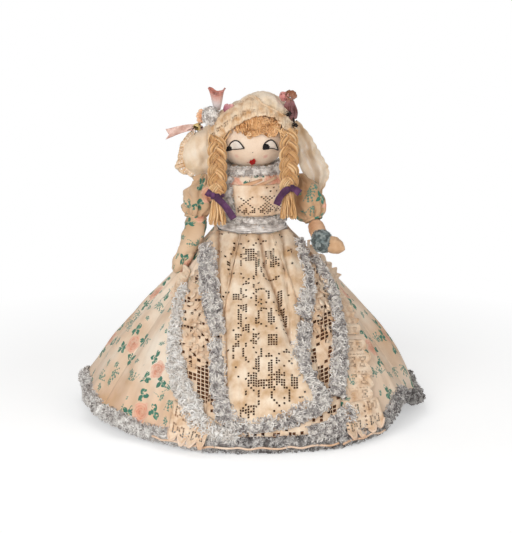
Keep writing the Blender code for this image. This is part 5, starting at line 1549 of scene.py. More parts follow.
def makeBrim(lace):
    rows, columns = bonnet["rows"], bonnet["columns"]
    grid = brimGrid(rows, columns)

    def opened(column, row):
        if row < 2 or row > rows - 4:
            return False
        petal = (column % 10 - 4.5) ** 2 + (row % 8 - 4) ** 2
        return petal < 3 or (7 < petal < 13 and (column + row) % 2 == 0) or (row == rows - 5 and column % 2 == 0)

    laceStrip("lace_brim", grid, opened, 0.3, 0.0005, lace, "root", replaces=("bonnet_brim",))
    # The seam's gathered heading, a narrow roll of the same lace
    path = brimGrid(rows, columns, 0.0004)[0]
    middle = np.array([0, 0, head["centre"]])
    swell = 1 + 0.35 * np.sin(np.arange(len(path)) * 2.1)
    points, faces = joinTubes([tubeRings(path, path - middle, 0.0011 * swell, 0.0006 * swell, 8)])
    makePiece("brim_heading", points, faces, lace, "root", tidy=False)
    print("bonnet made")


lappets = {
    # the veil: share of its drop, then x of its inner and of its outer edge
    "veil": ((0.0, 0.0345, 0.044), (0.2, 0.037, 0.056), (0.45, 0.042, 0.066), (0.62, 0.047, 0.0735),
             (0.74, 0.051, 0.0745), (0.86, 0.057, 0.0705), (0.96, 0.063, 0.067), (1.0, 0.065, 0.0665)),
    "left": {"drop": 0.0535, "width": 0.0335, "puff": 0.0092, "mirror": -1,
             "rows": ((0.0, 0.0, 0.1, 0.1), (0.14, 0.0, 0.42, 0.5), (0.28, 0.0, 0.74, 0.85),
                      (0.45, 0.02, 0.94, 1.0),
                      (0.65, 0.04, 1.0, 1.0), (0.86, 0.12, 0.9, 0.75), (1.0, 0.34, 0.62, 0.15))},
    "right": {"drop": 0.074, "width": 0.036, "puff": 0.001, "mirror": 1,
              "rows": ((0.0, 0.0, 0.06, 0.6), (0.15, 0.02, 0.4, 1.0), (0.4, 0.12, 0.84, 1.0),
                       (0.62, 0.3, 1.0, 1.0), (0.8, 0.52, 0.98, 1.0), (1.0, 0.8, 0.92, 0.6))},
}


def lappetHinge(side):
    # Top of the solid lappet
    low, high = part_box(side + "_lappet")
    mirror = lappets[side]["mirror"]
    inner = high[0] if mirror < 0 else low[0]
    return np.array([inner, (low[1] + high[1]) / 2, high[2]])


def lappetGrid(side, rows, columns):
    row = lappets[side]
    table = np.array(row["rows"])
    share, across = np.meshgrid(np.linspace(0, 1, rows), np.linspace(0, 1, columns), indexing="ij")
    near = np.interp(share, table[:, 0], table[:, 1])
    far = np.interp(share, table[:, 0], table[:, 2])
    full = np.interp(share, table[:, 0], table[:, 3])
    hinge = lappetHinge(side)
    x = hinge[0] + row["mirror"] * row["width"] * (near + (far - near) * across)
    return x, hinge, share, across, full


def makeLeftPuff(gauze):
    row = lappets["left"]
    grids = []
    for face in (1, -1):
        x, hinge, share, across, full = lappetGrid("left", 44, 40)
        swell = 0.0006 + row["puff"] * full * np.sin(pi * across) ** 0.6
        spots = np.stack([x, share * 0.05, across * 0 + face * 0.02], axis=-1)
        folds = (0.0012 * ripple(spots, 0.016, 31) + 0.0005 * ripple(spots, 0.006, 32)) * np.sin(pi * across) * full
        y = hinge[1] + face * (swell + folds)
        grids.append(np.stack([x, y, hinge[2] - row["drop"] * share], axis=-1))
    points, faces = slabMesh(grids[1], grids[0])
    puff = makePiece("left_gauze_puff", points, faces, gauze, "left_lappet",
                     replaces=("left_lappet",))


def makePuffEdging(lace):
    # A narrow gathered lace along the puff's outer edge, with a curled tip
    rows, columns = 5, 60
    row = lappets["left"]
    table = np.array(row["rows"])
    hinge = lappetHinge("left")
    share = np.linspace(0.22, 0.99, columns)
    far = np.interp(share, table[:, 0], table[:, 2])
    edge = np.stack([hinge[0] - row["width"] * far, hinge[1] + 0 * share, hinge[2] - row["drop"] * share],
                    axis=-1)
    along = np.gradient(edge, axis=0)
    along /= np.linalg.norm(along, axis=1)[:, None]
    outward = np.cross(along, np.array([0, 1.0, 0]))
    outward *= np.sign(-outward[len(outward) // 2, 0])
    wide = 0.004 * (1 + 1.5 * np.exp(-((share - 0.8) / 0.09) ** 2))
    steps = np.linspace(-0.25, 1, rows)[:, None, None]
    grid = edge + outward * (wide[:, None] * steps)
    ruffle = 0.0018 * np.sin(share * 90) * (np.linspace(0, 1, rows)[:, None])
    grid[..., 1] += ruffle - 0.0008
    laceStrip("left_puff_edging", grid, lambda column, row: row in (1, 2) and column % 2 == 0, 0.42, 0.0005,
              lace, "left_lappet")


def makeRightVeil(gauze):
    row = lappets["right"]
    rows, columns = 74, 38
    hinge = lappetHinge("right")
    share, across = np.meshgrid(np.linspace(0, 1, rows), np.linspace(0, 1, columns), indexing="ij")
    stops = np.array(lappets["veil"])
    column = stops[:, 0]
    inner = np.interp(share, column, stops[:, 1])
    outer = np.interp(share, column, stops[:, 2])
    x = inner + (outer - inner) * across
    spots = np.stack([x, share * 0.07], axis=-1)
    y = hinge[1] + 0.003 * np.sin(across * 11 + share * 5) * (0.3 + share) + 0.0014 * ripple(spots, 0.012, 33)
    scallop = 0.0012 * np.abs(np.sin(share * 34)) * np.clip(across * 6 - 5, 0, 1)
    grid = np.stack([x + scallop, y, hinge[2] - row["drop"] * share], axis=-1)

    def opened(column, row):
        if column < 2 or column > columns - 4 or row < 3:
            return False
        if 11 <= column <= 14 and 26 < row < 62:
            return True
        if column > 15 and row > 20:
            ring = (column % 8 - 3.5) ** 2 + (row % 9 - 4) ** 2
            return ring > 5 and (column + row) % 2 == 0
        return False

    laceStrip("right_veil", grid, opened, 0.4, 0.0004, gauze, "right_lappet",
              replaces=("right_lappet",))


# lace flounces and guipure leaves of the skirt

flounces = {
    "rows": 15, "columnsPerPleat": 10,
    # name: gore, sewn edge, free edge (share, turn), pleats, lift at the sewn and the free edge, scallops, rim
    "pieces": {
        "left_guipure_ruffle": (7, ((0.24, -58), (0.31, -54), (0.37, -49), (0.43, -43), (0.47, -40)),
                                ((0.22, -66), (0.29, -65), (0.37, -60), (0.43, -51), (0.49, -46)), 5, 0.003,
                                0.008, 7,
                                False),
        "left_scallop_flounce": (7, ((0.865, -28.0), (0.885, -23.0), (0.9, -18.0), (0.905, -14.0)),
                                 ((1.035, -27.0), (1.055, -22.5), (1.06, -18.0), (1.055, -14.0)), 2, 0.0066,
                                 0.0118, 4,
                                 True),
        "right_scallop_flounce": (1, ((0.88, 33.0), (0.885, 38.0), (0.89, 44.0), (0.9, 49.0)),
                                  ((1.045, 30.5), (1.045, 36.0), (1.035, 42.0), (1.02, 48.0)), 2, 0.0066,
                                  0.0118, 4,
                                  True),
        "right_lace_flounce": (1, ((0.36, 62.0), (0.43, 57.0), (0.5, 53.0), (0.58, 49.0)),
                               ((0.37, 71.0), (0.45, 69.0), (0.53, 64.0), (0.61, 57.0)), 6, 0.003, 0.007, 5,
                               False),
        "right_big_scallops": (1, ((0.6, 46.0), (0.69, 42.0), (0.79, 38.5), (0.88, 36.5)),
                               ((0.64, 57.0), (0.73, 54.0), (0.83, 50.0), (0.9, 47.0)), 4, 0.003, 0.007, 5,
                               False),
        "right_golden_frill": (2, ((0.13, 78.0), (0.2, 77.0), (0.27, 77.0), (0.33, 77.0)),
                               ((0.12, 100.0), (0.2, 99.0), (0.28, 96.0), (0.35, 93.0)), 5, 0.003, 0.008, 4,
                               False),
    },
    "leafLength": 0.0084, "leafWidth": 0.0017,
    # guipure leaves: gore, how many, picture box they lie in
    "leaves": {"left_guipure_leaves": (7, 40, (186, 326, 219, 366)),
               "left_guipure_sprigs": (7, 30, (188, 285, 206, 330)),
               "right_guipure_leaves": (1, 40, (308, 276, 328, 384))},
}


def flounceGrid(gore, sewn, free, pleats, low, high, scallops):
    rows = flounces["rows"]
    columns = pleats * flounces["columnsPerPleat"] + 1
    along = np.linspace(0, 1, columns)
    ends = []
    for stops in (sewn, free):
        line = curve([(share, turn, 0) for share, turn in stops], 12)
        place = np.linspace(0, 1, len(line))
        ends.append((np.interp(along, place, line[:, 0]), np.interp(along, place, line[:, 1])))
    out = np.linspace(0, 1, rows)[:, None]
    reach = out * (1 - 0.24 * (1 - np.abs(np.sin(along * pi * scallops))) * np.clip(out * 2 - 1, 0, 1))
    share = ends[0][0] + (ends[1][0] - ends[0][0]) * reach
    turn = ends[0][1] + (ends[1][1] - ends[0][1]) * reach
    wave = np.sin(2 * pi * along * pleats + 1.1 * np.sin(along * 9))
    lift = low + (high - low) * out * (0.62 + 0.3 * wave) + 0.0004 * np.sin(along * 47) * out
    past = np.maximum(share - 1, 0) * float(slopeLength(gore, 0.0))
    across = acrossOfTurn(gore, np.minimum(share, 1.0), turn)
    return gorePoint(gore, np.minimum(share, 1.0), np.clip(across, -1.25, 1.25), lift, past, relief=False)


def makeFlounces(lace, rim):
    for name, row in flounces["pieces"].items():
        gore, sewn, free, pleats, low, high, scallops, rimmed = row
        grid = flounceGrid(gore, sewn, free, pleats, low, high, scallops)

        def opened(column, row):
            if row < 1 or row > flounces["rows"] - 4:
                return False
            aside, down = column % 10 - 4.5, (row % 6 - 2.5) * 1.5
            ring = abs(sqrt(aside ** 2 + down ** 2) - 3.0)
            return ring < 0.55 or (aside == -4.5 and row % 2 == 0) or abs(aside) + abs(down) < 1.4

        laceStrip(name, grid, opened, 0.22, 0.0006, lace, skirt["names"][gore] + "_skirt")
        edge = grid[-1]
        inward = grid[-2] - grid[-1]
        cord = 0.0011 if rimmed else 0.0007
        points, faces = joinTubes([tubeRings(edge, inward, cord * 0.8, cord, 8)])
        makePiece(name + "_edge", points, faces, rim if rimmed else lace, skirt["names"][gore] + "_skirt",
                  tidy=False)
    for gore in (7, 0, 1):
        low, high = {7: (0.25, 1.0), 0: (-1.0, 1.0), 1: (-1.0, -0.1)}[gore]
        across = np.linspace(low, high, 46)
        wave = 0.0008 * np.sin(across * 26 + gore)
        path = gorePoint(gore, 1.0, across, 0.0056 + wave, 0.009 + 0.0008 * np.sin(across * 17))
        points, faces = joinTubes([tubeRings(path, (0, -1, 0.4), 0.001, 0.0006, 8)])
        makePiece(skirt["names"][gore] + "_petticoat_rim", points, faces, rim,
                  skirt["names"][gore] + "_skirt",
                  tidy=False)
    print("flounces made")


def makeLeaves(lace):
    source = np.random.default_rng(61)
    for name, (gore, count, box) in flounces["leaves"].items():
        share, across = np.meshgrid(np.linspace(0.2, 0.95, 90), np.linspace(-0.98, 0.98, 70), indexing="ij")
        ground = gorePoint(gore, share, across, 0.003)
        column, row = seenPixel(ground)
        turn = azimuth(ground)
        left, right = apronLimits(share)
        outerLeft, outerRight = outerLimits(share)
        inside = (column > box[0]) & (column < box[2]) & (row > box[1]) & (row < box[3])
        inside &= ((turn > outerLeft + 2) & (turn < left - 2)) | ((turn > right + 2) & (turn < outerRight - 2))
        places = np.argwhere(inside)
        parts = []
        if not len(places):
            continue
        for place in places[source.integers(0, len(places), count)]:
            low, side = share[tuple(place)], across[tuple(place)]
            spot = gorePoint(gore, low, side, 0.003)
            normal = gorePoint(gore, low, side, 0.006) - spot
            way = source.normal(size=3)
            length = flounces["leafLength"] * source.uniform(0.6, 1.2)
            parts.append(petal(spot - way / np.linalg.norm(way) * length * 0.4 + normal
                               * source.uniform(0, 0.2),
                               normal, way, length, flounces["leafWidth"] * source.uniform(0.8, 1.3),
                               -0.0004, 0.0006,
                               0.0007, 6, 5))
        points, faces = joinParts(parts)
        makePiece(name, points, faces, lace, skirt["names"][gore] + "_skirt")
    print("guipure leaves made")


# bodies

torso = {
    "rise": 0.062, "lowerRise": 0.076, "start": 0.00015,
    # share of the rise, half width, half depth
    "rows": ((0.0, 0.0296, 0.03), (0.16, 0.03, 0.0302), (0.42, 0.0345, 0.0306), (0.6, 0.0374, 0.0312),
             (0.76, 0.0407, 0.0282), (0.86, 0.035, 0.024), (0.93, 0.0236, 0.0198), (1.0, 0.015, 0.015)),
    "ringRows": 70, "columns": 120,
    "bibLow": 0.27, "bibHigh": 0.75, "bibLeft": -26.0, "bibRight": 56.0,
    # the crossed neckline's folded edges, as pixels
    "folds": (((232, 194.5), (246, 190.5), (262, 184.5), (276, 177.5)),
              ((236, 188.0), (250, 184.0), (262, 179.5)),
              ((234, 197.5), (250, 195.5), (264, 191.0), (277, 184.0))),
}


def profile(table, share, column):
    # Smooth reading of one column of a table whose first column is the share
    table = np.asarray(table, dtype=float)
    share = np.clip(share, table[0, 0], table[-1, 0])
    low = np.clip(np.searchsorted(table[:, 0], share, side="right") - 1, 0, len(table) - 2)
    blend = (share - table[low, 0]) / (table[low + 1, 0] - table[low, 0])
    blend = blend * blend * (3 - 2 * blend)
    return table[low, column] + (table[low + 1, column] - table[low, column]) * blend


def torsoPoint(share, turn, offset=0.0, side=1):
    # turn is in radians from the front towards +X
    rise = torso["rise"] if side > 0 else torso["lowerRise"]
    wide = profile(torso["rows"], share, 1) + offset
    deep = profile(torso["rows"], share, 2) + offset
    height = skirt["waistHeight"] + side * (torso["start"] + share * (rise - torso["start"]))
    return np.stack(np.broadcast_arrays(wide * np.sin(turn), -deep * np.cos(turn), height), axis=-1)


def torsoGrid(rows, columns, low=0.0, high=1.0):
    share, turn = np.meshgrid(np.linspace(low, high, rows), np.arange(columns) * 2 * pi / columns,
                              indexing="ij")
    return share, turn


def makeBodice(name, side, material, node):
    share, turn = torsoGrid(torso["ringRows"], torso["columns"])
    spots = np.stack([np.sin(turn) * 0.035, np.cos(turn) * 0.035, share * 0.07], axis=-1)
    still = np.clip(share * 12, 0, 1) * np.clip((1 - share) * 12, 0, 1)
    lift = (0.0006 * ripple(spots, 0.02, 51 + side) + 0.0003 * ripple(spots, 0.007, 53)) * still
    gathers = 0.0005 * np.sin(turn * 36 + 2 * np.sin(turn * 5)) * np.exp(-((share - 0.06) / 0.1) ** 2)
    rings = torsoPoint(share, turn, np.maximum(lift + gathers, -0.0002) * (1 - (share > 0.97)), side)
    points, faces = ringsMesh(rings)
    flat = np.stack([turn * 0.036 + 0.31, share * 0.062 + 0.02], axis=-1).reshape(-1, 2)
    piece = makePiece(name, points, faces, material, "root", flat=flat, replaces=(node,))
    return piece


def torsoTree(offset):
    share, turn = torsoGrid(50, 90)
    points = torsoPoint(share, turn, offset).reshape(-1, 3)
    return BVHTree.FromPolygons([Vector(point) for point in points], gridFaces(50, 90, around=True))


def makeNeckFolds(material):
    tree = torsoTree(0.0009)
    tubes = []
    for pixels in torso["folds"]:
        path = curve([(x, y, 0) for x, y in pixels], 9)
        placed = [onFace(tree, (x, y), 0) for x, y, _ in path]
        points = np.array([spot for spot, _ in placed])
        normals = np.array([normal for _, normal in placed])
        swell = 0.7 + 0.3 * np.sin(np.linspace(0, pi, len(points)))
        tubes.append(tubeRings(points, normals, 0.0019 * swell, 0.0009 * swell, 10))
    points, faces = joinTubes(tubes)
    flat = points[:, (0, 2)] * 0.9 + 0.013
    makePiece("neckline_folds", points, faces, material, "root", flat=flat)


def makeBib(lace, ground):
    rows, columns = 19, 27
    share, turn = np.meshgrid(np.linspace(torso["bibLow"], torso["bibHigh"], rows),
                              np.radians(np.linspace(torso["bibLeft"], torso["bibRight"], columns)),
                              indexing="ij")
    wave = 0.0004 * np.sin(turn * 22 + 3 * share)
    grid = torsoPoint(share, turn, 0.0022 + wave)

    def opened(column, row):
        if column < 1 or column > columns - 3 or row < 1:
            return False
        if row > 11:
            return row in (14, 16) and column > 13 and (column + row) % 3 == 0
        diamond = abs(column % 10 - 5) + abs(row % 8 - 4)
        return diamond == 4 or (diamond == 0) or (row in (2, 3) and column % 4 < 2) or (diamond == 2 and column > 12)

    laceStrip("bib_lace", grid, opened, 0.16, 0.0005, lace, "root", replaces=("lace_bib",))
    # The dark ground sheet under the bib lace is painted shade seen through its holes
    shadeBacking = torsoPoint(share, turn, 0.0014)
    points, faces = slabMesh(shadeBacking, torsoPoint(share, turn, 0.001))
    makePiece("bib_hole_shade", points, faces, ground, "root")


def bandRings(share, offset, halfHeight, halfDeep, sides, columns=72, slope=0.0, seed=1):
    # Rings round the torso at one share of its rise, for a wool band
    turn = np.arange(columns) * 2 * pi / columns
    place = torsoPoint(share, turn)
    low = torsoPoint(share - 0.03, turn)
    high = torsoPoint(share + 0.03, turn)
    climb = high - low
    climb /= np.linalg.norm(climb, axis=1)[:, None]
    outward = place * np.array([1, 1, 0])
    normal = outward - climb * np.sum(outward * climb, axis=1)[:, None]
    normal /= np.linalg.norm(normal, axis=1)[:, None]
    swell = 1 + 0.12 * ripple(place, 0.015, seed)
    around = 2 * pi * np.arange(sides) / sides
    tilt = slope * np.sin(turn)
    middle = place + normal * offset + climb * tilt[:, None]
    return (middle[:, None, :] + normal[:, None, :] * (halfDeep * swell)[:, None, None]
            * np.cos(around)[:, None]
            + climb[:, None, :] * (halfHeight * swell)[:, None, None] * np.sin(around)[:, None])


def makeBodiceWool(wool, paleWool):
    rings = bandRings(0.9, 0.004, 0.005, 0.0036, 10, slope=0.001, seed=3)
    makeFur("wool_collar", rings, wool, "root", ("fur_collar",), 401, spacing=0.0019, closed=True)
    rings = bandRings(0.195, 0.0022, 0.0034, 0.002, 8, slope=-0.0006, seed=4)
    makeFur("wool_waist_band", rings, paleWool, "root", ("waist_fur_band",), 403, spacing=0.0018, closed=True,
            radius=0.0009)
    share = np.linspace(0.27, 0.86, 26)
    path = torsoPoint(share, radians(-35.0), 0.0024)
    facing = (sin(radians(-35.0)), -cos(radians(-35.0)), 0)
    swell = 1 + 0.15 * np.sin(share * 40)
    rings = tubeRings(path, facing, 0.0044 * swell, 0.0021, 9)
    makeFur("wool_bodice_strip", rings, paleWool, "root", ("bodice_fur_strip",), 405, spacing=0.0018)
    print("bodice wool made")


sash = {"low": 0.1796, "radius": 0.0306, "flare": 0.0022, "cords": 6, "cordRadius": 0.001, "slope": 0.001}


def makeSash(satin):
    # A soft satin sash drawn into cords that cross each other
    turn = np.linspace(0, 2 * pi, 160)
    tubes = []
    for cord in range(sash["cords"]):
        share = cord / (sash["cords"] - 1)
        height = (sash["low"] + 0.0056 * share + sash["slope"] * -np.sin(turn)
                  + 0.0007 * np.sin(turn * 3 + cord * 1.7) + 0.0004 * np.sin(turn * 7 + cord))
        reach = sash["radius"] + 0.0006 + sash["flare"] * (1 - share) ** 2 + 0.0005 * np.sin(turn * 4 + cord * 2.3)
        path = np.stack([reach * np.sin(turn), -reach * np.cos(turn), height], axis=-1)
        thick = sash["cordRadius"] * (1 + 0.25 * np.sin(turn * 5 + cord))
        tubes.append(tubeRings(path, np.array([0, 0, 1.0]), thick * 0.8, thick, 10))
    points, faces = joinTubes(tubes)
    makePiece("satin_sash_cords", points, faces, satin, "root", replaces=("waist_sash",), tidy=False)
    share, turn = np.meshgrid(np.linspace(0, 1, 6), np.arange(96) * 2 * pi / 96, indexing="ij")
    height = sash["low"] - 0.0018 + 0.0077 * share
    reach = sash["radius"] + sash["flare"] * (1 - share) ** 2 + 0 * turn
    outer = np.stack([reach * np.sin(turn), -reach * np.cos(turn), height], axis=-1)
    points, faces = ringsMesh(outer)
    makePiece("satin_sash_band", points, faces, satin, "root")


# arms

arms = {
    "sleeveFold": 0.003,
    "shoulder": (0.046, 0.0, 0.22512), "lowerShoulder": (0.046, 0.0, 0.12024), "ball": 0.005,
    "leftElbow": (-0.057, -0.01, 0.186),
    # the left arm as the picture shows it: middle line, then radius at shares of its length
    "leftLine": ((-0.0525, -0.008, 0.1925), (-0.0545, -0.01, 0.18), (-0.0595, -0.014, 0.164),
                 (-0.065, -0.0175, 0.153), (-0.07, -0.0205, 0.1445), (-0.074, -0.023, 0.1375)),
    "leftShape": ((0.0, 0.45), (0.06, 0.86), (0.18, 1.0), (0.48, 0.86), (0.72, 0.74), (0.88, 0.62),
                  (0.96, 0.44),
                  (1.0, 0.12)),
    "rightElbow": (0.06, -0.015, 0.185), "rightWrist": (0.066, -0.035, 0.173),
    "rightTip": (0.089, -0.05, 0.166),
    "lowerElbow": (0.068, -0.006, 0.07924), "lowerTip": (0.091, -0.02, 0.03024), "lowerWristShare": 0.62,
    "leftPuff": 0.0146, "rightPuff": 0.0168, "plainRadius": 0.0118, "armRadius": 0.0086, "handRadius": 0.0064,
    "puff": ((0.0, 0.06), (0.03, 0.3), (0.09, 0.42), (0.16, 0.5), (0.34, 0.86), (0.58, 1.0), (0.8, 0.94),
             (0.93, 0.66), (0.985, 0.52), (1.0, 0.2)),
    "plain": ((0.0, 0.06), (0.03, 0.28), (0.08, 0.4), (0.14, 0.48), (0.35, 0.84), (0.65, 0.88), (0.96, 0.66),
              (1.0, 0.2)),
    "hand": ((0.0, 0.25), (0.03, 0.6), (0.1, 0.82), (0.32, 1.0), (0.6, 0.84), (0.78, 0.98), (0.92, 0.66),
             (1.0, 0.1)),
    "forearmCloth": ((0.0, 0.3), (0.05, 0.75), (0.2, 0.96), (0.7, 1.0), (0.94, 0.92), (1.0, 0.5)),
    "pointedHand": ((0.0, 0.6), (0.2, 0.85), (0.5, 1.0), (0.75, 0.78), (0.93, 0.36), (1.0, 0.08)),
}


def limbSkin(path, radius, table, sides, relief, flatShift):
    # A stuffed limb: rings along a path, with its own cloth places; relief(share, turn) adds height
    path = np.asarray(path, dtype=float)
    length = np.concatenate([[0], np.cumsum(np.linalg.norm(np.diff(path, axis=0), axis=1))])
    share = length / length[-1]
    table = np.array(table)
    base = radius * np.interp(share, table[:, 0], table[:, 1])
    along = np.gradient(path, axis=0)
    along /= np.linalg.norm(along, axis=1)[:, None]
    normal = np.array([0, -1.0, 0]) - along * along[:, 1:2] * -1
    normal /= np.linalg.norm(normal, axis=1)[:, None]
    across = np.cross(along, normal)
    turn = 2 * pi * np.arange(sides) / sides
    shares, turns = np.meshgrid(share, turn, indexing="ij")
    reach = np.maximum(base[:, None] + relief(shares, turns), base[:, None] * 0.4)
    rings = (path[:, None, :] + across[:, None, :] * (reach * np.cos(turns))[:, :, None]
             + normal[:, None, :] * (reach * np.sin(turns))[:, :, None])
    points, faces = ringsMesh(rings)
    flat = np.stack([turns * radius + flatShift, shares * length[-1] + flatShift * 0.7],
                    axis=-1).reshape(-1, 2)
    return points, faces, flat


def gathered(count, height, creases, seed):
    # Pleats that start at both bands of a puffed sleeve, with creases between
    def relief(share, turn):
        ends = np.exp(-((share - 0.16) / 0.14) ** 2) + np.exp(-((share - 0.92) / 0.16) ** 2)
        spots = np.stack([np.cos(turn) * 0.012, np.sin(turn) * 0.012, share * 0.04], axis=-1)
        pleats = height * np.sin(turn * count + 1.2 * ripple(spots, 0.02, seed)) * ends
        fade = np.clip(share * 8, 0, 1) * np.clip((1 - share) * 12, 0, 1)
        valleys = arms["sleeveFold"] * (1 - np.abs(np.sin(turn * 3.5 + 1.6 * ripple(spots, 0.016, seed + 2)))) ** 3
        return (pleats + creases * ripple(spots, 0.009, seed + 1) - valleys) * fade
    return relief


def line(start, end, steps):
    return np.linspace(np.array(start, dtype=float), np.array(end, dtype=float), steps)


def makeSleeve(name, shoulder, elbow, radius, table, material, relief, past, shift):
    shoulder = np.array(shoulder)
    elbow = np.array(elbow)
    way = (elbow - shoulder) / np.linalg.norm(elbow - shoulder)
    path = line(shoulder - way * arms["ball"], elbow - way * (arms["ball"] - past), 60)
    points, faces, flat = limbSkin(path, radius, table, 72, relief, shift)
    piece = makePiece(name + "_sleeve_cloth", points, faces, material, name + "_upper_arm", flat=flat,
                      replaces=(name + "_sleeve",))


def makeForearm(name, places, radius, table, material, shift, replaces=True, pieceName=None,
                body=None, wrinkle=0.0003):
    path = curve(places, 16)

    def relief(share, turn):
        spots = np.stack([np.cos(turn) * 0.008, np.sin(turn) * 0.008, share * 0.06], axis=-1)
        valleys = 1.8 * (1 - np.abs(np.sin(turn + 6 * share + 0.8 * ripple(spots, 0.02, 78)))) ** 4
        return wrinkle * (ripple(spots, 0.012, 77) - valleys) * np.clip((1 - share) * 8, 0, 1)

    points, faces, flat = limbSkin(path, radius, table, 40, relief, shift)
    piece = makePiece(pieceName or name + "_arm_cloth", points, faces, material, body or name + "_forearm",
                      flat=flat, replaces=(name + "_forearm",) if replaces else ())


def makeArms(printed, bareCloth, blue, skin, grey):
    for name, mirror in (("left", -1), ("right", 1)):
        x, y, z = arms["shoulder"]
        makeSleeve(name, (mirror * x, y, z), arms[name + "Elbow"], arms[name + "Puff"], arms["puff"], printed,
                   gathered(12, 0.0021, 0.0014, 60 + mirror), 0.0022, 0.5 + mirror * 0.117)
        # the sleeve's narrow band above the elbow
        elbow = np.array(arms[name + "Elbow"])
        way = (elbow - np.array((mirror * x, y, z)))
        way /= np.linalg.norm(way)
        turn = np.linspace(0, 2 * pi, 30)
        across = np.cross(way, np.array([0, -1.0, 0]))
        across /= np.linalg.norm(across)
        ahead = np.cross(across, way)
        loop = (elbow - way * 0.0034 + across * (0.0084 * np.cos(turn))[:, None]
                + ahead * (0.0084 * np.sin(turn))[:, None])
        points, faces = joinTubes([tubeRings(loop, way, 0.0007, 0.0015, 8)])
        makePiece(name + "_sleeve_band", points, faces, printed, name + "_upper_arm",
                  flat=points[:, (0, 2)], tidy=False)
    makeForearm("left", arms["leftLine"], 0.0112, arms["leftShape"], printed, 0.77,
                wrinkle=0.0007)
    wrist = np.array(arms["rightWrist"])
    tip = np.array(arms["rightTip"])
    makeForearm("right", (arms["rightElbow"], wrist), arms["armRadius"] * 0.94, arms["forearmCloth"],
                bareCloth,
                0.9, pieceName="right_arm_cloth")
    makeForearm("right", (wrist + np.array((0.002, -0.003, 0)), wrist + (tip - wrist) * 0.45,
                          tip - (tip - wrist) * 0.05),
                0.0084, arms["pointedHand"], skin, 0.2, replaces=False,
                pieceName="right_hand_cloth")
    # wool ball at the wrist
    along = wrist - np.array(arms["rightElbow"])
    along /= np.linalg.norm(along)
    share = np.linspace(0.02, 0.98, 15)
    path = wrist + along * (0.011 * (2 * share - 1))[:, None] + np.array((0.0008, -0.0048, -0.0006))
    bulge = np.sqrt(1 - (2 * share - 1) ** 2) * 0.0112
    rings = tubeRings(path, (0, -1, 0.3), bulge, bulge, 16)
    makeFur("right_wrist_wool", rings, grey, "right_forearm", ("right_wrist_cuff",), 431, spacing=0.0015,
            radius=0.0008, thread=0.00028)
    for name, mirror in (("lower_left", -1), ("lower_right", 1)):
        x, y, z = arms["lowerShoulder"]
        shoulder = (mirror * x, y, z)
        x, y, z = arms["lowerElbow"]
        elbow = np.array((mirror * x, y, z))
        x, y, z = arms["lowerTip"]
        tip = np.array((mirror * x, y, z))
        makeSleeve(name, shoulder, elbow, arms["plainRadius"], arms["plain"], blue,
                   gathered(9, 0.0005, 0.0004, 70 + mirror), -0.0003, 0.1)
        start = elbow - (tip - elbow) / np.linalg.norm(tip - elbow) * arms["ball"]
        wrist = elbow + (tip - elbow) * arms["lowerWristShare"]
        makeForearm(name, (start, elbow, wrist, tip), arms["handRadius"], arms["hand"], skin,
                    0.3)
    print("arms made")


# flowers and ribbon on the bonnet

flowers = {
    "cupSeat": (-0.033, -0.006, 0.293), "cupHeight": 0.0215, "cupRadius": 0.0082,
    "cupLean": (-0.02, -0.1, 1.0),
    "loopSeat": (-0.0268, -0.019, 0.295),
    "pomMiddle": (-0.0388, -0.0165, 0.2888), "pomRadius": 0.0086,
    "peachSeat": (-0.0452, -0.004, 0.2862), "peachFacing": (-0.75, -0.62, 0.22),
    "budMiddle": (-0.053, -0.005, 0.2765),
    "tailStart": (-0.047, 0.001, 0.2745), "tailEnd": (-0.083, 0.003, 0.268),
    "roseMiddle": (0.0305, -0.006, 0.3055), "roseRadius": 0.0066,
    "mauveSeat": (0.0372, -0.006, 0.2935),
    "darkCentres": ((0.0348, -0.0205, 0.2915), (0.0405, -0.017, 0.28)),
}


def petal(base, outward, upward, length, width, cup, curl, thin=0.0004, rows=9, columns=9):
    # One cloth petal that leaves its base along upward and faces outward
    base = np.array(base)
    outward = np.array(outward, dtype=float)
    outward /= np.linalg.norm(outward)
    upward = np.array(upward, dtype=float)
    upward = upward - outward * (upward @ outward)
    upward /= np.linalg.norm(upward)
    aside = np.cross(upward, outward)
    share, across = np.meshgrid(np.linspace(0, 1, rows), np.linspace(-1, 1, columns), indexing="ij")
    wide = width * (0.28 + 0.72 * np.sin(np.clip(share * 1.15, 0, 1) * pi * 0.62)) * np.sqrt(
        np.clip(1 - np.clip(share - 0.62, 0, 1) ** 2 * 5.2, 0.06, 1))
    lift = cup * (across ** 2) * share + curl * share ** 2.2 + 0.0004 * np.sin(across * 7 + share * 5)
    grid = (base + upward * (length * share)[..., None] + aside * (wide * across)[..., None]
            + outward * lift[..., None])
    return slabMesh(grid + outward * thin / 2, grid - outward * thin / 2)


def joinParts(parts):
    points = []
    faces = []
    count = 0
    for part, partFaces in parts:
        points.append(part)
        faces += [tuple(corner + count for corner in face) for face in partFaces]
        count += len(part)
    return np.concatenate(points), faces


def blossom(seat, facing, petals, length, width, cup, curl, lean, spin=0.0):
    # Petals set round a seat, leaning out of the facing plane
    facing = np.array(facing, dtype=float)
    facing /= np.linalg.norm(facing)
    first = np.cross(facing, np.array([0.2, 0.1, 1.0]))
    first /= np.linalg.norm(first)
    second = np.cross(facing, first)
    parts = []
    for number in range(petals):
        turn = 2 * pi * number / petals + spin
        way = first * cos(turn) + second * sin(turn)
        up = way * cos(lean) + facing * sin(lean)
        front = facing * cos(lean) - way * sin(lean)
        parts.append(petal(np.array(seat) + way * 0.0006, front, up, length, width, cup, curl))
    return parts


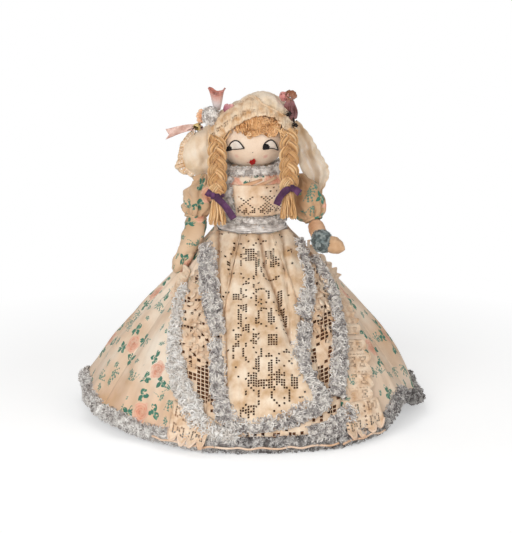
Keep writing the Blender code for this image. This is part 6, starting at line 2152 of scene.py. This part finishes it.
def petalMaterial(name, tones, middle, reach, roughness=0.7):
    # Tones run out from the flower's middle, with fine streaks
    material, tree, shader = startMaterial(name, roughness, 0.3)
    spot = restSpot(tree)
    away = addNode(tree, "VectorMath", {0: spot, 1: tuple(middle)}, operation="DISTANCE").outputs["Value"]
    streak = noiseAt(tree, spot, 0.0016, 2.0)
    place = calc(tree, "ADD", rampValue(tree, away, 0, reach),
                 calc(tree, "MULTIPLY_ADD", streak, 0.35, -0.17))
    tree.links.new(rampTones(tree, place, tones), shader.inputs["Base Color"])
    bumpInto(tree, shader, calc(tree, "ADD", streak, calc(tree, "MULTIPLY", weaveHeight(tree, spot, 0.0005),
                                                          0.3)),
             0.4, 0.0003)
    return material


def satinMaterial(name, main, shade, light):
    # Smooth ribbon with long soft creases and a gentle shine
    material, tree, shader = startMaterial(name, 0.38, 0.35)
    shader.inputs["Specular IOR Level"].default_value = 0.5
    spot = restSpot(tree)
    colour = rampTones(tree, noiseAt(tree, spot, 0.006, 3.0), [(0.3, shade), (0.5, main), (0.7, light)])
    tree.links.new(colour, shader.inputs["Base Color"])
    stretched = addNode(tree, "VectorMath", {0: spot, 1: (300, 300, 2400)}, operation="MULTIPLY").outputs[0]
    ribs = addNode(tree, "TexNoise", {"Vector": stretched, "Scale": 1.0, "Detail": 2.0}).outputs["Fac"]
    bumpInto(tree, shader, ribs, 0.35, 0.0004)
    return material


def makeLeftFlowers(wool):
    seat = np.array(flowers["cupSeat"])
    axis = np.array(flowers["cupLean"])
    axis = axis / np.linalg.norm(axis)
    first = np.cross(axis, np.array([0, 1.0, 0]))
    first /= np.linalg.norm(first)
    second = np.cross(axis, first)
    share, turn = np.meshgrid(np.linspace(0, 1, 26), np.arange(64) * 2 * pi / 64, indexing="ij")
    flare = 0.36 + 0.22 * np.sin(share * pi) + 0.64 * share ** 3.2
    spout = 1 + share ** 2 * (0.16 * np.cos(3 * turn + 0.6) + 0.14 * np.cos(turn - 2.6))
    reach = flowers["cupRadius"] * flare * spout + 0.0004 * np.sin(turn * 9) * share
    rise = flowers["cupHeight"] * (share + 0.12 * share ** 4 * np.cos(2 * turn + 0.5) - 0.1 * share ** 4)
    grid = (seat + axis * rise[..., None] + first * (reach * np.cos(turn))[..., None]
            + second * (reach * np.sin(turn))[..., None])
    inward = 1 - 0.0006 / np.maximum(reach, 0.001)
    inner = (seat + axis * (rise + 0.0002)[..., None] + first * (reach * inward * np.cos(turn))[..., None]
             + second * (reach * inward * np.sin(turn))[..., None])
    points, faces = shellMesh(grid, inner)
    cup = petalMaterial("ribbon cup", [(0.0, "#D9D2D6"), (0.35, "#E7D9D6"), (0.6, "#E2B8AC"),
                                       (0.85, "#D28A78"),
                                       (1.0, "#B96A5C")], seat, flowers["cupHeight"] * 1.05, 0.45)
    makePiece("pink_ribbon_cup", points, faces, cup, "root", replaces=("left_ribbon_rosette",))
    loopSeat = np.array(flowers["loopSeat"])
    pink = petalMaterial("magenta pink petals", [(0.0, "#8E4A58"), (0.4, "#C0808A"), (1.0, "#E0AFA9")],
                         loopSeat,
                         0.01)
    parts = [petal(loopSeat, (0.1, -0.9, 0.5), (0.9, -0.1, 0.42), 0.0105, 0.0034, 0.0018, 0.0012),
             petal(loopSeat, (0.1, -0.9, 0.6), (0.6, -0.1, 0.8), 0.007, 0.0028, 0.0014, 0.0008),
             petal(loopSeat, (-0.1, -0.9, 0.5), (0.8, -0.2, -0.15), 0.0062, 0.0026, 0.0012, 0.0006)]
    points, faces = joinParts(parts)
    makePiece("pink_loop_petals", points, faces, pink, "root")
    middle = np.array(flowers["pomMiddle"])
    share = np.linspace(0.03, 0.97, 13)
    radius = flowers["pomRadius"]
    path = middle + np.array([0, 0, 1.0]) * (radius * (2 * share - 1))[:, None]
    reach = np.sqrt(1 - (2 * share - 1) ** 2) * radius
    rings = tubeRings(path, (0, -1, 0), reach, reach, 14)
    makeFur("left_wool_pom", rings, wool, "root", ("left_fur_pom",), 441, spacing=0.0016, radius=0.001)
    seat = np.array(flowers["peachSeat"])
    facing = flowers["peachFacing"]
    peach = petalMaterial("peach petals", [(0.0, "#C98F52"), (0.35, "#EDB083"), (0.8, "#F6CDA9"),
                                           (1.0, "#F9DCC2")],
                          seat, 0.01)
    parts = blossom(seat, facing, 6, 0.0078, 0.0034, 0.0014, 0.0006, 0.45)
    parts += blossom(seat + np.array(facing) * 0.001, facing, 4, 0.005, 0.0026, 0.0012, 0.0004, 0.9, 0.4)
    points, faces = joinParts(parts)
    makePiece("peach_petals", points, faces, peach, "root", replaces=("left_peach_flower",))
    middle = np.array(flowers["budMiddle"])
    olive = petalMaterial("olive bud", [(0.0, "#8A7A2F"), (0.5, "#C9A758"), (1.0, "#EBD193")], middle, 0.006)
    parts = blossom(middle + np.array((0.003, 0.001, 0.003)), (-0.5, -0.6, -0.6), 5, 0.0068, 0.0026, 0.0016,
                    0.0002, 1.0)
    points, faces = joinParts(parts)
    makePiece("olive_bud", points, faces, olive, "root")
    stems = []
    source = np.random.default_rng(12)
    for start, end in ((flowers["pomMiddle"], middle), (flowers["peachSeat"], middle),
                       (flowers["cupSeat"], flowers["pomMiddle"]), (flowers["tailStart"], middle)):
        path = line(start, end, 12) + source.normal(size=(12, 3)) * 0.0003
        stems.append(tubeRings(path, (0, -1, 0.2), 0.00045, 0.00045, 6))
    for number in range(9):
        tip = middle + source.normal(size=3) * 0.0035 + np.array((-0.001, -0.003, -0.001))
        path = curve([middle + source.normal(size=3) * 0.001,
                      (middle + tip) / 2 + source.normal(size=3) * 0.0006,
                      tip], 4)
        stems.append(tubeRings(path, (0, -1, 0.2), 0.0003, 0.0003, 5))
    points, faces = joinTubes(stems)
    dark = plainCloth("dark stems", "#3B2A1C", "#221610", "#5A4530", pitch=0.0004)
    makePiece("flower_stems", points, faces, dark, "root", tidy=False)


def makeRibbonTail(satin):
    start = np.array(flowers["tailStart"])
    end = np.array(flowers["tailEnd"])
    share, across = np.meshgrid(np.linspace(0, 1, 24), np.linspace(-1, 1, 9), indexing="ij")
    wide = 0.0014 + 0.0046 * share ** 0.7
    path = start + (end - start) * share[..., None]
    z = 0.0018 * np.sin(share * 4) + wide * across + 0.0022 * share * (1 - across) * 0.5
    y = 0.0016 * np.sin(share * 5 + across * 1.4) + 0.0008 * across
    notch = -0.0035 * (1 - np.abs(across)) * np.clip(share * 6 - 5, 0, 1)
    grid = path + np.stack([-notch, y, z], axis=-1)
    thin = np.array([0, 0.0002, 0])
    points, faces = slabMesh(grid - thin, grid + thin)
    makePiece("pink_satin_tail", points, faces, satin, "root")


def makeRightFlowers():
    middle = np.array(flowers["roseMiddle"])
    radius = flowers["roseRadius"]
    pink = petalMaterial("rosebud petals", [(0.0, "#B06A5C"), (0.45, "#D9908A"), (0.8, "#E5AAA2"),
                                            (1.0, "#F0CBC0")],
                         middle, radius * 1.35)
    parts = []
    up = np.array((-0.15, -0.35, 1.0))
    for ring, (count, reach, height) in enumerate(((3, 0.45, 0.0088), (5, 0.75, 0.0086), (5, 1.0, 0.0074))):
        for number in range(count):
            turn = 2 * pi * number / count + ring * 0.7
            way = np.array([cos(turn), sin(turn), 0.1])
            base = middle - up * 0.0042 + way * radius * reach * 0.35
            parts.append(petal(base, way, up + way * 0.22 * reach, height, 0.004, -0.0016,
                               0.0008 + 0.0012 * reach))
    points, faces = joinParts(parts)
    makePiece("rosebud_petals", points, faces, pink, "root", replaces=("right_rosebud",))
    seat = np.array(flowers["mauveSeat"])
    mauve = petalMaterial("mauve brown petals", [(0.0, "#3A1815"), (0.3, "#70403A"), (0.55, "#96686A"),
                                                 (0.8, "#A9785F"),
                                                 (1.0, "#8C5A3F")], seat, 0.016)
    parts = []
    source = np.random.default_rng(17)
    crown = seat + np.array((-0.0008, -0.0005, 0.0105))
    for number in range(9):
        turn = radians(-150 + 250 * number / 8)
        way = np.array((cos(turn) * 0.8, sin(turn) * 0.7 - 0.4, 0))
        start = crown + way * 0.0026 + source.normal(size=3) * 0.0006
        down = np.array((0.1 + 0.16 * cos(turn), -0.12, -1.0)) + source.normal(size=3) * 0.12
        parts.append(petal(start, way, down, source.uniform(0.015, 0.0215), source.uniform(0.0034, 0.005),
                           -0.0022, source.uniform(0.0, 0.0024)))
    parts += blossom(crown + np.array((0, 0, 0.001)), (0.2, -0.6, 0.7), 5, 0.0066, 0.0034, 0.0014, 0.001,
                     0.5, 0.4)
    points, faces = joinParts(parts)
    makePiece("mauve_petals", points, faces, mauve, "root", replaces=("right_mauve_flower",))
    source = np.random.default_rng(31)
    tubes = []
    for place in flowers["darkCentres"]:
        for _ in range(34):
            spot = np.array(place) + source.normal(size=3) * 0.0011
            tip = spot + source.normal(size=3) * 0.0012 + np.array((0.0004, -0.0014, 0))
            tubes.append(tubeRings(line(spot, tip, 4), (0.3, -0.2, 1), 0.0004, 0.0004, 5))
        tubes.append(tubeRings(line(np.array(place), seat + np.array((0.001, 0.001, -0.002)), 8),
                               (0, 0.2, 1), 0.0009,
                               0.0009, 8))
    points, faces = joinTubes(tubes)
    dark = plainCloth("dark stamens", "#22120C", "#120806", "#3B2418", pitch=0.0004)
    makePiece("dark_flower_centres", points, faces, dark, "root", tidy=False)
    print("flowers made")


# the other doll, under the skirt

other = {
    "capRadius": 0.045, "capHeight": 0.0609, "capGathers": 30,
    "capRows": ((0.945, 0.8), (1.0, 0.9), (0.955, 0.935), (0.85, 0.935), (0.76, 0.965), (0.667, 1.0),
                (0.56, 1.0),
                (0.437, 0.97), (0.33, 0.9), (0.23, 0.8), (0.14, 0.66), (0.08, 0.54), (0.014, 0.36),
                (0.0, 0.262)),
    "frillRadius": 0.0415, "frillReach": 0.0135, "frillHeight": 0.0567, "frillWaves": 26,
    # closed eyes and mouth: side angle and height angle on the face, in degrees
    "eye": ((13.0, 3.0), (17.0, -1.5), (22.0, -3.0), (27.0, -1.8), (31.0, 2.2)),
    "mouth": ((-7.0, -22.5), (-3.5, -25.0), (0.0, -25.8), (3.5, -25.0), (7.0, -22.5)),
}


def facePath(stops, lift, mirror=1):
    # Points on the hidden face from side and height angles; height is towards its crown
    path = curve([(a, b, 0) for a, b in stops], 6)[:, :2]
    side = np.radians(path[:, 0]) * mirror
    level = np.radians(path[:, 1])
    direction = np.stack([np.sin(side) * np.cos(level), -np.cos(side) * np.cos(level), np.sin(level)],
                         axis=-1)
    return headPoint(direction, lift, -1)


def makeOtherHead(skin, hair, black, red):
    makeHeadPiece("other_cloth_head", -1, skin, "lower_head")
    centre = np.array([0, 0, head["lowerCentre"]])
    tubes = []
    for mirror in (-1, 1):
        path = facePath(other["eye"], 0.0003, mirror)
        tubes.append(tubeRings(path, path - centre, 0.00055, 0.0004, 8))
        for place in (4, 9, 14, 19):
            spot = path[place]
            away = np.array([mirror * 0.4, 0, 1.0]) * 0.0022
            tubes.append(tubeRings(line(spot, spot + away, 4), spot - centre, 0.00032, 0.00032, 6))
    points, faces = joinTubes(tubes)
    makePiece("other_eye_stitches", points, faces, black, "root", tidy=False)
    path = facePath(other["mouth"], 0.0003)
    points, faces = joinTubes([tubeRings(path, path - centre, 0.0007, 0.0005, 8)])
    makePiece("other_mouth_stitches", points, faces, red, "root", tidy=False)
    away, around = domeGrid(99.0, 44, 240)
    direction = poleDirection(head["lowerTilt"], away, around)
    comb = 0.0004 * np.sin(np.radians(around) * 70) * np.clip(away / 40, 0, 1)
    rim = 1 - np.clip((away - 92) / 7, 0, 1) ** 2 * 0.75
    outer = headPoint(direction, 0.0004 + 0.0026 * rim + comb * rim, -1)
    inner = headPoint(direction, 0.0004, -1)
    points, faces = shellMesh(outer, inner)
    makePiece("other_combed_hair", points, faces, hair, "root", replaces=("lower_hair",))
    tubes = []
    source = np.random.default_rng(91)
    for number in range(190):
        around = 360 * number / 190 + source.uniform(-1, 1)
        start = source.uniform(58, 70)
        share = np.linspace(0, 1, 9)
        path = headPoint(poleDirection(head["lowerTilt"], start + (98 - start) * share,
                                       around + 4 * np.sin(share * 5)),
                         0.0036 - 0.0014 * share ** 4, -1)
        tubes.append(tubeRings(path, path - centre, 0.0006, 0.0006, 5))
    points, faces = joinTubes(tubes)
    makePiece("other_hair_strands", points, faces, hair, "root", tidy=False)


def makeOtherCap(muslin):
    rows = curve([(height, radius, 0) for height, radius in other["capRows"]], 5)[:, :2]
    columns = 180
    turn = np.arange(columns) * 2 * pi / columns
    height = np.clip(rows[:, 0:1], 0, 1.02) * other["capHeight"]
    nearBand = np.exp(-((rows[:, 0:1] - 0.8) / 0.2) ** 2)
    nearPole = np.exp(-(rows[:, 0:1] / 0.3) ** 2)
    gathers = 0.001 * np.sin(turn * other["capGathers"] + 0.8
                             * np.sin(turn * 5)) * np.maximum(nearBand, nearPole * 0.8)
    spots = np.stack(np.broadcast_arrays(np.cos(turn) * 0.045, np.sin(turn) * 0.045, height), axis=-1)
    soft = 0.0005 * ripple(spots, 0.018, 95)
    still = np.clip(rows[:, 0:1] / 0.1, 0, 1)
    reach = other["capRadius"] * rows[:, 1:2] + (gathers + soft) * still
    rings = np.stack(np.broadcast_arrays(reach * np.cos(turn), reach * np.sin(turn), height), axis=-1)
    points, faces = ringsMesh(rings)
    piece = makePiece("other_cap", points, faces, muslin, "root", replaces=("cap_crown",))
    share, turn = np.meshgrid(np.linspace(0, 1, 9), np.arange(280) * 2 * pi / 280, indexing="ij")
    reach = other["frillRadius"] + other["frillReach"] * share
    wave = 0.0022 * np.sin(turn * 9) * (0.4 + 0.6 * share) + 0.0017 * np.sin(turn * other["frillWaves"]) * share
    outer = np.stack([reach * np.cos(turn), reach * np.sin(turn), other["frillHeight"] + wave + 0.0003],
                     axis=-1)
    inner = outer - np.array([0, 0, 0.0005])
    points, faces = frillMesh(outer, inner)
    frill = makePiece("other_cap_frill", points, faces, muslin, "root", replaces=("cap_frill",))


def frillMesh(outer, inner):
    # Two closed-round grids joined at both rims
    rows, columns = outer.shape[:2]
    count = rows * columns
    faces = gridFaces(rows, columns, 0, around=True) + gridFaces(rows, columns, count, flip=True, around=True)
    for row in (0, rows - 1):
        for column in range(columns):
            here = row * columns + column
            ahead = row * columns + (column + 1) % columns
            face = (here, ahead, count + ahead, count + here)
            faces.append(face if row else tuple(reversed(face)))
    return np.concatenate([outer.reshape(-1, 3), inner.reshape(-1, 3)]), faces


makeCamera()
makeStage()
makeLights()
print("camera, floor and light made")

printCotton = printMaterial("rose print cotton", "#EBD0B5", "#D8B08A", "#F7E7D3", "#DE9A72")
liningCotton = plainCloth("blue lining cotton", "#7C8798", "#646F82", "#9099A8")
laceThread = plainCloth("ivory lace thread", "#EBCFB2", "#D3AC86", "#F8E6CF", pitch=0.0005, size=0.012)
# The last tone is painted shade for the fold valleys
apronThread = foldShadedLace("ivory apron lace", "#E6CBAD", "#CBA47B", "#F4E1C9", "#83562F")
# A dark brown sheet under the lace: painted shade seen through the holes
shadeUnderLace = plainCloth("brown painted hole shade", "#5A3824", "#3C2415", "#7A5138", size=0.01)
blueWool = furMaterial("blue grey wool", furLook["tones"])
paleWool = furMaterial("pale grey wool", [(0.0, "#C9BFB5"), (0.2, "#E6DED5"), (0.5, "#F3EDE6"),
                                          (0.8, "#FAF6F1"), (1.0, "#FFFDF9")])
softWool = furMaterial("soft grey wool", [(0.0, "#857C76"), (0.2, "#B9B1AC"), (0.5, "#DAD4CF"),
                                          (0.8, "#EEEAE5"), (1.0, "#FAF7F2")])
hemWool = furMaterial("dark grey hem wool", [(0.0, "#3F3936"), (0.2, "#726B68"), (0.5, "#A39E9B"),
                                             (0.8, "#CDC8C4"), (1.0, "#EAE5DF")])

makeSkirtCloth(printCotton, liningCotton)
makeHemFur(hemWool, softWool)
makeTrims(blueWool, paleWool)
makeLaceNets(apronThread, laceThread, shadeUnderLace)

blackThread = plainCloth("black thread", "#1A1514", "#0E0B0A", "#2A2422", pitch=0.0004)
whiteThread = plainCloth("white thread", "#F4EADF", "#E4D3C2", "#FBF5EE", pitch=0.0004)
redThread = plainCloth("red thread", "#B5160F", "#8A0D06", "#CC2A1E", pitch=0.0004)
pinkThread = plainCloth("pink thread", "#D68A77", "#C97765", "#E3A392", pitch=0.0004)
faceCotton = faceMaterial()
strawYarn = yarnMaterial("straw yarn", [(0.0, "#A87543"), (0.3, "#CC9A63"), (0.6, "#E2B47E"),
                                        (1.0, "#F3D0A0")])
gauzeCloth = plainCloth("cream gauze", "#F3DEC4", "#E2C5A0", "#FAEBD7", pitch=0.0009, size=0.015, sheen=0.25)
beigeLace = plainCloth("beige bonnet lace", "#EDD0AE", "#CFA274", "#FBE7CC", pitch=0.0006, size=0.008)
purpleSatin = plainCloth("purple ribbon satin", "#54304F", "#3A1C38", "#7A4C78", pitch=0.0003, size=0.01,
                         roughness=0.5)

makeHeadPiece("cloth_head", 1, faceCotton, "upper_head")
makeFace(blackThread, whiteThread, redThread, pinkThread)
fringeYarn = yarnMaterial("golden brown yarn", [(0.0, "#82501F"), (0.3, "#BE8550"), (0.6, "#E2AE78"),
                                                (1.0, "#F6CFA2")])
makeHair(strawYarn, fringeYarn)
makeBraid("left", strawYarn, purpleSatin)
makeBraid("right", strawYarn, purpleSatin)
print("braids made")
makeBonnetCrown(gauzeCloth)
makeBrim(beigeLace)
makeLeftPuff(gauzeCloth)
makePuffEdging(beigeLace)
makeRightVeil(gauzeCloth)

sleeveCotton = printMaterial("rose sleeve cotton", "#CFAB87", "#AD8059", "#E2C3A3", "#CF946C", 0.12)
silverSatin = satinMaterial("silver satin", "#D9D0C8", "#A2958C", "#F3EEE9")
pinkSatin = satinMaterial("pink satin", "#DDB3A4", "#C48F80", "#EBCDBF")
handCloth = plainCloth("beige hand cloth", "#D9B48F", "#BD9069", "#EACBA9")
bareArmCloth = plainCloth("peach sleeve cotton", "#DDB08C", "#BC8961", "#EBCBA9")
blueCotton = plainCloth("faded blue cotton", "#8896A8", "#6C7A8E", "#A4AFBD")
muslinCloth = plainCloth("cream muslin", "#E9DBC6", "#D2BEA2", "#F5ECDD")
darkYarn = yarnMaterial("dark brown yarn", [(0.0, "#2E1D13"), (0.4, "#4A3020"), (0.8, "#664530"),
                                            (1.0, "#7C583F")])
greenGreyWool = furMaterial("green grey wool", [(0.0, "#3E423D"), (0.35, "#5F6A69"), (0.7, "#85908F"),
                                                (1.0, "#A9AFAB")])
bodiceWool = furMaterial("lavender grey wool", [(0.0, "#978D85"), (0.3, "#C6BCB4"), (0.65, "#E4DCD5"),
                                                (1.0, "#FAF5EE")])
otherSkin = plainCloth("other face cotton", "#E3C2A2", "#D3AC88", "#EFD6BC")

makeBodice("print_bodice", 1, printCotton, "upper_torso")
makeBodice("blue_bodice", -1, blueCotton, "lower_torso")
makeNeckFolds(bareArmCloth)
makeBib(laceThread, shadeUnderLace)
makeBodiceWool(bodiceWool, bodiceWool)
makeSash(silverSatin)
makeArms(sleeveCotton, bareArmCloth, blueCotton, handCloth, greenGreyWool)
makeLeftFlowers(bodiceWool)
makeRibbonTail(pinkSatin)
makeRightFlowers()
makeFlounces(laceThread, plainCloth("peach rim cloth", "#E8CBB2", "#D8AE8B", "#F4E0CC"))
makeLeaves(laceThread)
makeOtherHead(otherSkin, darkYarn, blackThread, redThread)
makeOtherCap(muslinCloth)
print("the other doll made")
